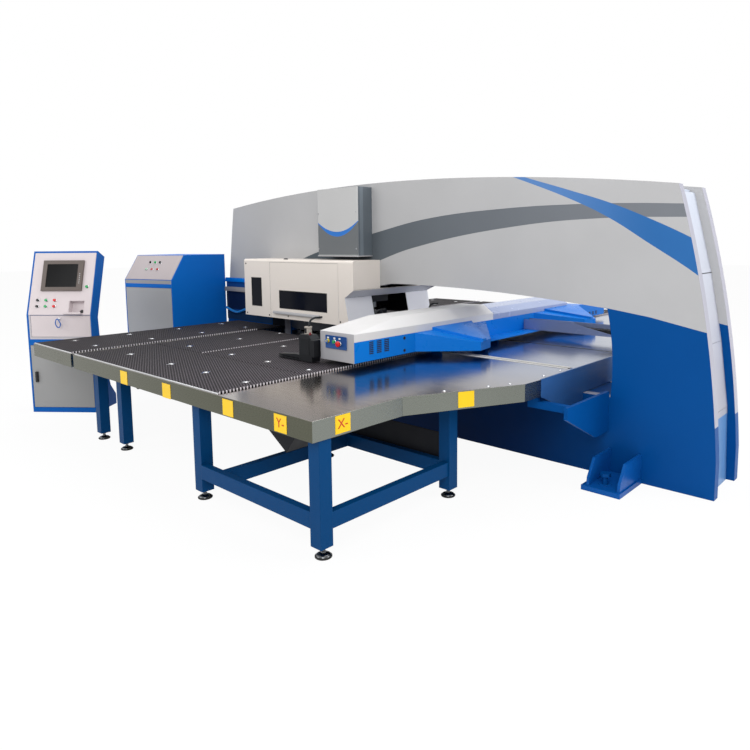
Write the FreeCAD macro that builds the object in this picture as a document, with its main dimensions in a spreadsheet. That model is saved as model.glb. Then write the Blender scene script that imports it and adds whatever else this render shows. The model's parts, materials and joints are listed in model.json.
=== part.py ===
import FreeCAD, Part
import Sketcher
import math
import os
import sys

# CNC turret punch press: closed O-frame, twin-disc turret, brush table, moving beam with clamps,
# operator console and control cabinet.
# Origin on the floor under the punch axis, in the frame's centre plane.
# +X along the beam, +Y along the frame towards the turret, +Z up.  Millimetres.

doc = FreeCAD.newDocument("turret_punch_press")
sheet = doc.addObject("Spreadsheet::Sheet", "Sizes")

sizes = [
    # frame
    ("frame_half", 283), ("plate_thick", 80), ("web_thick", 30),
    ("near_foot", -3500), ("near_bend", 250), ("near_mid_y", -3395), ("near_mid_z", 1204),
    ("near_top_y", -3185), ("near_top_z", 2136), ("crown_y", -700), ("crown_z", 2326),
    ("far_top_y", 2087), ("far_top_z", 2185), ("far_mid_y", 2232), ("far_mid_z", 1250),
    ("far_foot", 2350), ("far_bend", 250),
    ("throat_near", -2755), ("throat_bow_y", -2762), ("throat_bow_z", 900), ("throat_top_y", -2712),
    ("throat_top_z", 1258), ("throat_far", 1130), ("throat_floor", 600), ("throat_mid_y", -1700),
    ("throat_mid_z", 1340), ("throat_end_y", -540), ("throat_end_z", 1363), ("throat_step_y", -400),
    ("throat_step_z", 1338), ("throat_far_z", 1330),
    # frame feet
    ("foot_out", 672), ("foot_near", -3010), ("foot_wide", 283), ("foot_thick", 35), ("foot_far", 1800),
    ("gusset_top", 212), ("gusset_flat", 552), ("gusset_thick", 20), ("anchor_x", 554), ("anchor_in", 157),
    ("anchor_radius", 20), ("anchor_head", 40),
    # ram head and turret
    ("mast_out", 475), ("mast_near", -294), ("mast_far", 295), ("mast_low", 1626), ("mast_top", 2292),
    ("ram_radius", 50), ("ram_low", 1085), ("ram_high", 1480), ("housing_half", 120),
    ("housing_low", 1150), ("housing_high", 1900), ("fit_gap", 0.05),
    ("turret_y", 460), ("disc_radius", 560), ("disc_low", 860), ("disc_high", 960),
    ("holder_low", 835), ("holder_high", 1045), ("track_outer", 460), ("track_inner", 340),
    ("holder_outer_r", 36), ("holder_inner_r", 21), ("stations_outer", 20), ("stations_inner", 12),
    ("shaft_radius", 80), ("shaft_high", 1210), ("bearing_low", 1050), ("bearing_radius", 150),
    ("die_disc_low", 700), ("die_disc_high", 790), ("pass_line", 818), ("die_shaft_low", 622),
    ("pedestal_top", 697),
    # turret guard
    ("guard_out", 645), ("guard_near", -395), ("guard_far", 1365), ("guard_low", 967), ("guard_top", 1590),
    ("guard_sheet", 6), ("guard_round", 25), ("door_near", -183), ("door_far", 894), ("door_top", 1558),
    # table
    ("table_top", 810), ("skirt_low", 690), ("top_sheet", 15), ("skirt_wall", 12),
    ("table_out", -2625), ("table_mirror", 975), ("front_side", -2135), ("bend_one_x", -1911),
    ("bend_one_y", -2140), ("bend_two_x", -1117), ("bend_two_y", -2528), ("seam_x", -927),
    ("front_mid", -2540), ("slot_in", 430), ("slot_out", 460), ("turret_notch", 645),
    ("notch_near", -160), ("split_near", 1066), ("split_far", 1122), ("table_far", 2030),
    ("rear_in", 300), ("deep_low", 525), ("deep_x", 540), ("slot_end", -2508),
    ("brush_near", -1200), ("brush_edge", 17), ("brush_slot", 480),
    ("leg_side", 85), ("leg_front", 90), ("leg_low", 60), ("bar_low", 160), ("bar_high", 258),
    ("bar_thick", 50), ("ring_low", 710),
    ("foot_radius", 50), ("foot_disc", 14), ("foot_cone", 40),
    ("rail_low", 560), ("rail_high", 598), ("rail_out", 330),
    # beam
    ("beam_left", -1541), ("beam_right", 2740), ("beam_near", -1332), ("beam_back", -957),
    ("beam_low", 862), ("beam_top", 1020), ("beam_drop_x", 2175), ("beam_drop_z", 937),
    ("ridge", 1080), ("crest_y", -1224), ("crest", 1158), ("crest_back", 1152), ("hip_x", -960),
    ("cover_split", 290), ("mid_end", 1770), ("mid_ridge", 1070), ("mid_crest", 1119),
    ("arm_left", -849), ("arm_right", 161), ("arm_tip_left", -471), ("arm_tip_right", -279),
    ("arm_tip_a", -1722), ("arm_tip_b", -1687), ("arm_tip_z", 930), ("arm_mirror", 1200),
    ("pad_left", -626), ("pad_right", -62), ("pad_thick", 24),
    ("strut_in", 436), ("strut_out", 454), ("strut_near", -1290), ("strut_far", -990),
    ("tray_near_x", 850), ("tray_far_x", 960), ("tray_low", 871), ("tray_high", 985), ("tray_end", -2300),
    # clamps
    ("clamp_first", -1545), ("clamp_pitch", 750), ("clamp_half", 42), ("carriage_left", -1600),
    ("carriage_right", 60), ("carriage_near", -943), ("carriage_far", -900), ("clamp_face", -747),
    ("jaw_tip", -470), ("jaw_low", 826), ("jaw_mid", 836), ("jaw_open", 842), ("jaw_high", 870),
    # console
    ("console_x", -2491.2), ("console_y", 2607.8), ("console_wide", 700), ("console_turn", -51.63),
    ("console_lip", 1036), ("console_run", 205), ("console_rise", 658),
    # cabinet
    ("cabinet_x", -1337.3), ("cabinet_y", 2823.8), ("cabinet_wide", 770), ("cabinet_turn", -75),
    ("cabinet_deep", 872), ("cabinet_low", 100), ("cabinet_break", 1347), ("cabinet_run", 205),
    ("cabinet_rise", 285),
]


class Size:
    # a length that keeps both its number and the cell expression that drives it
    def __init__(self, text, number):
        self.text = text
        self.number = float(number)

    def __add__(self, other):
        other = as_size(other)
        return Size("(" + self.text + " + " + other.text + ")", self.number + other.number)

    def __radd__(self, other):
        return as_size(other) + self

    def __sub__(self, other):
        other = as_size(other)
        return Size("(" + self.text + " - " + other.text + ")", self.number - other.number)

    def __rsub__(self, other):
        return as_size(other) - self

    def __mul__(self, factor):
        return Size("(" + self.text + " * " + str(factor) + ")", self.number * factor)

    def __neg__(self):
        return Size("(0 - " + self.text + ")", -self.number)


def as_size(value):
    if isinstance(value, Size):
        return value
    if value < 0:
        return Size("(0 - " + str(-value) + ")", value)
    return Size(str(value), value)


cells = {}
for row, (alias, number) in enumerate(sizes):
    cell = "B" + str(row + 1)
    sheet.set("A" + str(row + 1), alias)
    sheet.set(cell, str(number))
    sheet.setAlias(cell, alias)
    cells[alias] = Size("Sizes." + alias, number)
doc.recompute()


def c(alias):
    return cells[alias]


def bind(item, path, value):
    item.setExpression(path, as_size(value).text)


def box(name, x0, x1, y0, y1, z0, z1):
    item = doc.addObject("Part::Box", name)
    bind(item, "Length", as_size(x1) - x0)
    bind(item, "Width", as_size(y1) - y0)
    bind(item, "Height", as_size(z1) - z0)
    bind(item, "Placement.Base.x", x0)
    bind(item, "Placement.Base.y", y0)
    bind(item, "Placement.Base.z", z0)
    return item


turns = {
    "z": FreeCAD.Rotation(),
    "x": FreeCAD.Rotation(FreeCAD.Vector(0, 1, 0), 90),
    "y": FreeCAD.Rotation(FreeCAD.Vector(1, 0, 0), -90),
}


def rod(name, axis, x, y, z, radius, length, sides=0):
    # a round bar from (x, y, z) along its axis; a prism where a number of sides is given
    item = doc.addObject("Part::Prism" if sides else "Part::Cylinder", name)
    item.Placement = FreeCAD.Placement(FreeCAD.Vector(), turns[axis])
    if sides:
        item.Polygon = sides
        bind(item, "Circumradius", radius)
    else:
        bind(item, "Radius", radius)
    bind(item, "Height", length)
    bind(item, "Placement.Base.x", x)
    bind(item, "Placement.Base.y", y)
    bind(item, "Placement.Base.z", z)
    return item


def group(name, items):
    item = doc.addObject("Part::Compound", name)
    item.Links = items
    return item


def cut(name, base, tools):
    tool = tools[0]
    if len(tools) > 1:
        tool = doc.addObject("Part::MultiFuse", name + "_tools")
        tool.Shapes = tools
    item = doc.addObject("Part::Cut", name)
    item.Base = base
    item.Tool = tool
    return item


def common(name, first, second):
    item = doc.addObject("Part::MultiCommon", name)
    item.Shapes = [first, second]
    return item


def origin_plane(body, role):
    for item in body.Origin.OriginFeatures:
        if item.Role == role:
            return item
    return None


def add_loop(sketch, loop):
    # loop: (x, y) corners; an entry (x, y, "via") bends the side it stands on into an arc
    corners = [entry for entry in loop if len(entry) == 2]
    vias = {}
    seen = 0
    for entry in loop:
        if len(entry) == 2:
            seen += 1
        else:
            vias[seen - 1] = entry
    count = len(corners)
    points = [FreeCAD.Vector(as_size(x).number, as_size(y).number, 0) for x, y in corners]
    ends = []
    for index in range(count):
        first = points[index]
        second = points[(index + 1) % count]
        if index in vias:
            via = vias[index]
            middle = FreeCAD.Vector(as_size(via[0]).number, as_size(via[1]).number, 0)
            side = sketch.addGeometry(Part.Arc(first, middle, second), False)
            flipped = (sketch.getPoint(side, 1) - first).Length > 1e-3
            ends.append((side, 2, 1) if flipped else (side, 1, 2))
            mark = sketch.addGeometry(Part.Point(middle), True)
            sketch.addConstraint(Sketcher.Constraint("PointOnObject", mark, 1, side))
            fix_point(sketch, mark, 1, via[0], via[1])
        else:
            side = sketch.addGeometry(Part.LineSegment(first, second), False)
            ends.append((side, 1, 2))
    for index in range(count):
        side, start, end = ends[index]
        after, after_start, after_end = ends[(index + 1) % count]
        sketch.addConstraint(Sketcher.Constraint("Coincident", side, end, after, after_start))
        fix_point(sketch, side, start, corners[index][0], corners[index][1])


def fix_point(sketch, item, place, x, y):
    for kind, value in (("DistanceX", as_size(x)), ("DistanceY", as_size(y))):
        number = sketch.addConstraint(Sketcher.Constraint(kind, -1, 1, item, place, value.number))
        if value.text.startswith("Sizes.") or "Sizes." in value.text:
            sketch.setExpression("Constraints[" + str(number) + "]", value.text)


def profile(name, plane, start, end, loops, circles=()):
    # a body padded from start to end along the normal of one of its origin planes
    body = doc.addObject("PartDesign::Body", name)
    pad_profile(body, name, plane, start, end, loops, circles)
    return body


def pad_profile(body, name, plane, start, end, loops, circles=()):
    sketch = body.newObject("Sketcher::SketchObject", name + "_sketch")
    sketch.AttachmentSupport = (origin_plane(body, plane + "_Plane"), [""])
    sketch.MapMode = "FlatFace"
    if plane == "XZ":
        bind(sketch, "AttachmentOffset.Base.z", -as_size(end))
    else:
        bind(sketch, "AttachmentOffset.Base.z", start)
    for loop in loops:
        add_loop(sketch, loop)
    for x, y, radius in circles:
        centre = FreeCAD.Vector(as_size(x).number, as_size(y).number, 0)
        ring = Part.Circle(centre, FreeCAD.Vector(0, 0, 1), as_size(radius).number)
        item = sketch.addGeometry(ring, False)
        fix_point(sketch, item, 3, x, y)
        number = sketch.addConstraint(Sketcher.Constraint("Radius", item, as_size(radius).number))
        if "Sizes." in as_size(radius).text:
            sketch.setExpression("Constraints[" + str(number) + "]", as_size(radius).text)
    pad = body.newObject("PartDesign::Pad", name + "_pad")
    pad.Profile = sketch
    bind(pad, "Length", as_size(end) - start)
    body.Tip = pad
    return pad


nodes = []


def node(item, label):
    item.Label = label
    nodes.append(item)
    return item


def quad(y0, z0, y1, z1, y2, z2, y3, z3):
    return [(y0, z0), (y1, z1), (y2, z2), (y3, z3)]


# ---------------------------------------------------------------- O-frame
half = c("frame_half")
plate_inner = half - c("plate_thick")
outline = [
    (c("near_foot"), 0), (c("near_foot"), c("near_bend")), (c("near_mid_y"), c("near_mid_z"), "via"),
    (c("near_top_y"), c("near_top_z")), (c("crown_y"), c("crown_z"), "via"),
    (c("far_top_y"), c("far_top_z")), (c("far_mid_y"), c("far_mid_z"), "via"),
    (c("far_foot"), c("far_bend")), (c("far_foot"), 0),
]
throat = [
    (c("throat_near"), c("throat_floor")), (c("throat_bow_y"), c("throat_bow_z"), "via"),
    (c("throat_top_y"), c("throat_top_z")), (c("throat_mid_y"), c("throat_mid_z"), "via"),
    (c("throat_end_y"), c("throat_end_z")), (c("throat_step_y"), c("throat_step_z")),
    (c("throat_far"), c("throat_far_z")), (c("throat_far"), c("throat_floor")),
]
node(profile("frame_near_plate", "YZ", -half, -plate_inner, [outline, throat]), "frame_near_plate")
node(profile("frame_far_plate", "YZ", plate_inner, half, [outline, throat]), "frame_far_plate")

# box-section webs between the two plates, set back 55 mm at the near end and 20 mm elsewhere
webs = [
    quad(-3445, 0, -3429, 549, -3399, 549, -3415, 0),
    quad(-3429, 551, -3368, 1028, -3338, 1028, -3399, 551),
    quad(-3368, 1030, -3278, 1518, -3248, 1518, -3338, 1030),
    quad(-3278, 1522, -3137, 2100, -3107, 2100, -3248, 1522),
    quad(-3103, 2122, -2040, 2239, -2040, 2209, -3103, 2092),
    quad(-2038, 2239, -1021, 2297, -1021, 2267, -2038, 2209),
    quad(-1019, 2297, 528, 2286, 528, 2256, -1019, 2267),
    quad(530, 2286, 2060, 2163, 2060, 2133, 530, 2256),
    quad(2330, 0, 2291, 668, 2261, 668, 2300, 0),
    quad(2291, 670, 2163, 1681, 2133, 1681, 2261, 670),
    quad(2163, 1683, 2072, 2130, 2042, 2130, 2133, 1683),
    quad(-3412, 0, 2298, 0, 2298, 30, -3412, 30),
    quad(-2750, 566, 1125, 566, 1125, 596, -2750, 596),
    quad(-2797, 602, -2767, 602, -2767, 1000, -2797, 1000),
    quad(-2797, 1002, -2767, 1002, -2721, 1256, -2751, 1256),
    quad(-2740, 1263, -2042, 1325, -2042, 1355, -2740, 1293),
    quad(-2040, 1325, -1070, 1369, -1070, 1399, -2040, 1355),
    quad(-1068, 1369, -545, 1369, -545, 1399, -1068, 1399),
    quad(-543, 1369, -402, 1344, -402, 1374, -543, 1399),
    quad(-400, 1343, -165, 1341, -165, 1371, -400, 1373),
    quad(165, 1333, 1128, 1330, 1128, 1360, 165, 1363),
    quad(1130, 602, 1160, 602, 1160, 1328, 1130, 1328),
    quad(-1320, 1402, -1300, 1402, -1300, 2245, -1320, 2245),
    quad(-600, 1402, -580, 1402, -580, 2255, -600, 2255),
    quad(700, 1365, 720, 1365, 720, 2235, 700, 2235),
    quad(-3290, 1299, -2760, 1299, -2760, 1319, -3290, 1319),
    quad(-1810, 32, -1790, 32, -1790, 564, -1810, 564),
    quad(-610, 32, -590, 32, -590, 564, -610, 564),
    quad(590, 32, 610, 32, 610, 564, 590, 564),
]
node(group("frame_webs", [profile("web_%02d" % (index + 1), "YZ", -plate_inner, plate_inner, [loop])
                          for index, loop in enumerate(webs)]), "frame_webs")

feet = []
anchors = []
for side in (-1, 1):
    for row, near in enumerate((c("foot_near"), c("foot_far"))):
        tag = "_%s%d" % ("n" if side < 0 else "p", row)
        lo = -c("foot_out") if side < 0 else half
        hi = -half if side < 0 else c("foot_out")
        anchor = c("anchor_x") if side > 0 else -c("anchor_x")
        hole_y = near + c("anchor_in")
        edge = [(lo, near), (hi, near), (hi, near + c("foot_wide")), (lo, near + c("foot_wide"))]
        bore = c("anchor_radius") + 3
        hole = [(bore * round(math.cos(math.pi * k / 6), 6) + anchor,
                 bore * round(math.sin(math.pi * k / 6), 6) + hole_y) for k in range(12)]
        feet.append(profile("foot_plate" + tag, "XY", 0, c("foot_thick"), [edge, hole]))
        inner = half * side
        flat = c("gusset_flat") * side
        edge = [(inner, c("foot_thick")), (inner, c("gusset_top")), (flat, c("gusset_top")),
                (640 * side, 90), (650 * side, c("foot_thick"))]
        for index, shift in enumerate((10, 235)):
            feet.append(profile("foot_gusset%s_%d" % (tag, index), "XZ", near + shift,
                                near + shift + c("gusset_thick"), [edge]))
        anchors.append(rod("anchor_rod" + tag, "z", anchor, hole_y, 4, c("anchor_radius"), 91, sides=12))
        anchors.append(rod("anchor_head" + tag, "z", anchor, hole_y, 95, c("anchor_head"), 24, sides=6))
node(group("frame_feet", feet), "frame_feet")
node(group("levelling_bolts", anchors), "levelling_bolts")

# ---------------------------------------------------------------- ram head
mast_rim = [
    (-half, c("mast_near")), (-half, c("mast_far")), (-c("mast_out") + 14, c("mast_far")),
    (-c("mast_out") + 4.1, c("mast_far") - 4.1, "via"), (-c("mast_out"), c("mast_far") - 14),
    (-c("mast_out"), c("mast_near") + 14), (-c("mast_out") + 4.1, c("mast_near") + 4.1, "via"),
    (-c("mast_out") + 14, c("mast_near")),
]
node(profile("mast_cover", "XY", c("mast_low"), c("mast_top"), [mast_rim]), "mast_cover")
hh = c("housing_half")
node(profile("ram_housing", "XY", c("housing_low"), c("housing_high"),
             [[(-hh, -hh), (hh, -hh), (hh, hh), (-hh, hh)]], [(0, 0, c("ram_radius") + c("fit_gap"))]),
     "ram_housing")
node(group("punch_ram", [rod("ram_bar", "z", 0, 0, c("ram_low"), c("ram_radius"),
                             c("ram_high") - c("ram_low"))]), "punch_ram")


# ---------------------------------------------------------------- turret discs
def patterned_disc(name, low, high, outer_low, outer_high, grow):
    body = doc.addObject("PartDesign::Body", name)
    pad_profile(body, name + "_disc", "XY", low, high, [], [(0, 0, c("disc_radius"))])
    for track, radius, count in (("track_outer", c("holder_outer_r") + grow, c("stations_outer")),
                                 ("track_inner", c("holder_inner_r") + grow, c("stations_inner"))):
        around = [(radius * round(math.cos(math.pi * k / 5), 6),
                   radius * round(math.sin(math.pi * k / 5), 6) - c(track)) for k in range(10)]
        first = pad_profile(body, name + "_" + track, "XY", outer_low, outer_high, [around])
        doc.recompute()
        ring = body.newObject("PartDesign::PolarPattern", name + "_" + track + "_ring")
        ring.Originals = [first]
        ring.Axis = (origin_axis(body, "Z_Axis"), [""])
        ring.Angle = 360
        bind(ring, "Occurrences", count)
        body.Tip = ring
    return body


def origin_axis(body, role):
    for item in body.Origin.OriginFeatures:
        if item.Role == role:
            return item
    return None


upper = group("upper_turret", [
    patterned_disc("punch_disc", c("disc_low"), c("disc_high"), c("holder_low"), c("holder_high"), 0),
    rod("punch_shaft", "z", 0, 0, c("disc_high"), c("shaft_radius"), c("shaft_high") - c("disc_high")),
])
bind(upper, "Placement.Base.y", c("turret_y"))
node(upper, "upper_turret")
lower = group("lower_turret", [
    patterned_disc("die_disc", c("die_disc_low"), c("die_disc_high"), c("die_disc_low"), c("pass_line"), 4),
    rod("die_shaft", "z", 0, 0, c("die_shaft_low"), c("shaft_radius"),
        c("die_disc_low") - c("die_shaft_low")),
])
bind(lower, "Placement.Base.y", c("turret_y"))
node(lower, "lower_turret")

bore = c("shaft_radius") + c("fit_gap")
node(group("turret_supports", [
    profile("upper_bearing", "XY", c("bearing_low"), c("throat_far_z"), [],
            [(0, c("turret_y"), c("bearing_radius")), (0, c("turret_y"), bore)]),
    profile("lower_bearing", "XY", c("throat_floor"), c("pedestal_top"), [],
            [(0, c("turret_y"), c("bearing_radius") + 20), (0, c("turret_y"), bore)]),
    box("die_anvil", -70, 70, -70, 70, c("throat_floor"), c("pedestal_top")),
]), "turret_supports")

# ---------------------------------------------------------------- turret guards
g_out = c("guard_out")
g_in = g_out - c("guard_sheet")
g_round = g_out - c("guard_round")
g_top = c("guard_top")
g_under = g_top - c("guard_sheet")
g_bend = g_top - c("guard_round")
g_line = c("door_top") + 2


def end_plate(low):
    # closes an end of the guard up to the underside of its rounded cap
    return [(-half, low), (-half, g_under), (-g_round, g_under), (-g_in + 5.6, g_under - 5.6),
            (-g_in, g_bend), (-g_in, low)]


def guard_shell(tag, with_door, shift):
    # shift moves the lower end panel towards the turret
    cap = [
        (-half, g_top), (-g_round, g_top), (-g_out + 7.3, g_top - 7.3, "via"), (-g_out, g_bend),
        (-g_out, g_line), (-g_in, g_line), (-g_in, g_bend), (-g_in + 5.6, g_under - 5.6, "via"),
        (-g_round, g_under), (-half, g_under),
    ]
    left_face = [(c("door_far") + 2, c("guard_low")), (c("guard_far"), c("guard_low")),
                 (c("guard_far"), g_line), (c("door_far") + 2, g_line)]
    window = [(1053, 1081), (1230, 1081), (1230, 1386), (1053, 1386)]
    low = -320 + shift
    knee = -273 + shift
    right_face = [(c("guard_near"), g_line), (c("door_near") - 2, g_line),
                  (c("door_near") - 2, c("guard_low")), (low + 10, c("guard_low")), (low, 1015),
                  (knee, 1234), (c("guard_near"), 1309)]
    items = [
        profile("guard_cap" + tag, "XZ", c("guard_near"), c("guard_far"), [cap]),
        profile("guard_left" + tag, "YZ", -g_out, -g_in, [left_face, window]),
        profile("guard_right" + tag, "YZ", -g_out, -g_in, [right_face]),
        profile("guard_left_end" + tag, "XZ", c("guard_far") - 6, c("guard_far"), [end_plate(c("guard_low"))]),
        profile("guard_right_end" + tag, "XZ", c("guard_near"), c("guard_near") + 6, [end_plate(1316)]),
        profile("guard_step" + tag, "YZ", -g_in, -half if with_door else half,
                [quad(-395, 1309, knee, 1234, knee + 3, 1239, -392, 1315)]),
        profile("guard_lower_end" + tag, "YZ", -g_in, -half,
                [quad(knee, 1233, low, 1015, low + 6, 1014, knee + 6, 1231)]),
    ]
    if with_door:
        items.append(box("guard_panel" + tag, -g_out, -g_in, c("door_near"), c("door_far"),
                         c("guard_low"), c("door_top")))
    return items


node(group("turret_guard", guard_shell("", False, 0)), "turret_guard")
far_guard = doc.addObject("Part::Mirroring", "turret_guard_far")
far_guard.Source = group("far_guard_source", guard_shell("_far", True, 50))
far_guard.Normal = FreeCAD.Vector(1, 0, 0)
node(far_guard, "turret_guard_far")

door_face = [(c("door_near"), c("guard_low")), (c("door_far"), c("guard_low")),
             (c("door_far"), c("door_top")), (c("door_near"), c("door_top"))]
door_window = [(-15, 1080), (736, 1080), (736, 1262), (-15, 1262)]
node(group("guard_door", [
    profile("guard_door_sheet", "YZ", -g_out, -g_in, [door_face, door_window]),
    box("guard_handle", -g_out - 34, -g_out - 18, 74, 809, 1022, 1044),
    box("guard_handle_a", -g_out - 18, -g_out, 90, 110, 1024, 1042),
    box("guard_handle_b", -g_out - 18, -g_out, 773, 793, 1024, 1042),
]), "guard_door")


# ---------------------------------------------------------------- table
def side_x(value, side):
    # the right half of the table mirrors the left one about table_mirror / 2
    value = as_size(value)
    if side < 0:
        return value
    return c("table_mirror") - value


def inner_x(value, side):
    value = as_size(value)
    if side < 0:
        return -value
    return value


def tray(name, tops, skirts):
    # folded sheet: flat top pieces and the skirt strips that hang from their edges
    items = [profile("%s_top_%d" % (name, index), "XY", c("table_top") - c("top_sheet"), c("table_top"), [loop])
             for index, loop in enumerate(tops)]
    items += [profile("%s_skirt_%d" % (name, index), "XY", c("skirt_low"), c("table_top") - c("top_sheet"), [loop])
              for index, loop in enumerate(skirts)]
    return items


def rim(x0, x1, y0, y1):
    return [(x0, y0), (x1, y0), (x1, y1), (x0, y1)]


wall = c("skirt_wall")
panel_back = c("front_mid") + wall
for side, name in ((-1, "table_left"), (1, "table_right")):
    out = side_x(c("table_out"), side)
    bend_one = side_x(c("bend_one_x"), side)
    bend_two = side_x(c("bend_two_x"), side)
    bend_end = side_x(c("seam_x"), side)
    seam = bend_end if side < 0 else -as_size(c("seam_x"))
    slot = inner_x(c("slot_out"), side)
    notch = inner_x(c("turret_notch"), side)
    step = as_size(wall) if side < 0 else -as_size(wall)
    near_one = c("bend_one_y")
    near_two = c("bend_two_y")
    mid = c("notch_near")
    far = c("split_near")
    front = c("front_mid")
    tops = [
        [(out, c("front_side")), (bend_one, near_one), (bend_one, far), (out, far)],
        [(bend_one, near_one), (bend_two, near_two), (bend_end, front), (bend_end, mid), (bend_one, mid)],
        rim(bend_one, notch, mid, far),
    ]
    skirts = [
        rim(out, out + step, c("front_side") + wall, far - wall),
        [(out, c("front_side")), (bend_one, near_one), (bend_one, near_one + wall), (out, c("front_side") + wall)],
        [(bend_one, near_one), (bend_two, near_two), (bend_two, near_two + wall), (bend_one, near_one + wall)],
        [(bend_two, near_two), (bend_end, front), (bend_end, front + wall), (bend_two, near_two + wall)],
        rim(slot - step, slot, panel_back + wall, mid - wall),
        rim(notch - step, slot, mid - wall, mid),
        rim(notch - step, notch, mid, far - wall),
        rim(out, notch, far - wall, far),
    ]
    if side < 0:
        tops.append(rim(bend_end, slot, panel_back, mid))
        skirts.append(rim(bend_end, slot, panel_back, panel_back + wall))
    else:
        tops.append(rim(bend_end, seam, front, mid))
        tops.append(rim(seam, slot, panel_back, mid))
        skirts.append(rim(bend_end, seam, front, panel_back))
        skirts.append(rim(seam, slot, panel_back, panel_back + wall))
    node(group(name, tray(name, tops, skirts)), name)


def plain_tray(name, x0, x1, y0, y1):
    return tray(name, [rim(x0, x1, y0, y1)], [
        rim(x0, x1, y0, y0 + wall), rim(x0, x1, y1 - wall, y1),
        rim(x0, x0 + wall, y0 + wall, y1 - wall), rim(x1 - wall, x1, y0 + wall, y1 - wall)])


slot_in = c("slot_in")
node(group("table_centre", plain_tray("centre", -slot_in, slot_in, panel_back, c("notch_near"))), "table_centre")
node(group("table_rear", plain_tray("rear_left", c("table_out"), -c("rear_in"), c("split_far"), c("table_far"))
           + plain_tray("rear_right", c("rear_in"), c("table_mirror") - c("table_out"), c("split_far"),
                        c("table_far"))), "table_rear")
# deep front panel, notched over the frame's floor beam
notch_top = 604
deep = [(c("seam_x"), c("table_top")), (c("seam_x"), c("skirt_low")), (-725, notch_top), (725, notch_top),
        (-c("seam_x"), c("skirt_low")), (-c("seam_x"), c("table_top"))]
deep_left = [(-725, notch_top), (-c("deep_x"), c("deep_low")), (-half - 5, c("deep_low")), (-half - 5, notch_top)]
deep_right = [(725, notch_top), (half + 5, notch_top), (half + 5, c("deep_low")), (c("deep_x"), c("deep_low"))]
node(group("table_front_panel", [
    profile("deep_panel", "XZ", c("front_mid"), panel_back, [deep]),
    profile("deep_panel_left", "XZ", c("front_mid"), panel_back, [deep_left]),
    profile("deep_panel_right", "XZ", c("front_mid"), panel_back, [deep_right]),
    box("slot_bridge_left", -c("slot_out"), -slot_in, panel_back, c("slot_end"),
        c("table_top") - c("top_sheet"), c("table_top")),
    box("slot_bridge_right", slot_in, c("slot_out"), panel_back, c("slot_end"),
        c("table_top") - c("top_sheet"), c("table_top")),
]), "table_front_panel")

# brush boards: thin boards on the table, a 10 mm strip of sheet showing between them
boards = []
for side, tag in ((-1, "left"), (1, "right")):
    edge = c("brush_edge")
    far_x = side_x(c("table_out") + edge, side)
    split_a = side_x(-1892, side)
    split_b = side_x(-1882, side)
    slot_x = inner_x(c("brush_slot"), side)
    notch_x = inner_x(c("turret_notch") + 15, side)
    near = c("brush_near")
    top = c("split_near") - 8
    loops = [
        [(far_x, near), (split_a, near), (split_a, top), (far_x, top)],
        [(split_b, 215), (notch_x, 215), (notch_x, top), (split_b, top)],
        [(split_b, near), (slot_x, near), (slot_x, c("notch_near") - 15),
         (notch_x, c("notch_near") - 15), (notch_x, 205), (split_b, 205)],
        [(far_x, c("split_far") + 10), (inner_x(c("rear_in") + 12, side), c("split_far") + 10),
         (inner_x(c("rear_in") + 12, side), c("table_far") - 10), (far_x, c("table_far") - 10)],
    ]
    for index, loop in enumerate(loops):
        boards.append(profile("board_%s_%d" % (tag, index), "XY", c("table_top"), c("pass_line"), [loop]))
node(group("brush_boards", boards), "brush_boards")

balls = []
grid = [(-2310, y) for y in (1850, 1370, 640, -50, -560, -1068)]
grid += [(-1757, y) for y in (1850, 1370, 640, -50, -560, -1068)]
grid += [(-1200, y) for y in (1850, 1370, 660, -40)]
grid += [(-700, 675), (-645, 1860), (-645, 1380)]
for index, (x, y) in enumerate(grid):
    for side, tag in ((-1, "l"), (1, "r")):
        spot = side_x(x, side)
        balls.append(rod("ball_%s%02d" % (tag, index), "z", spot, y, c("pass_line"), 20, 5, sides=8))
node(group("ball_transfers", balls), "ball_transfers")

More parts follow.
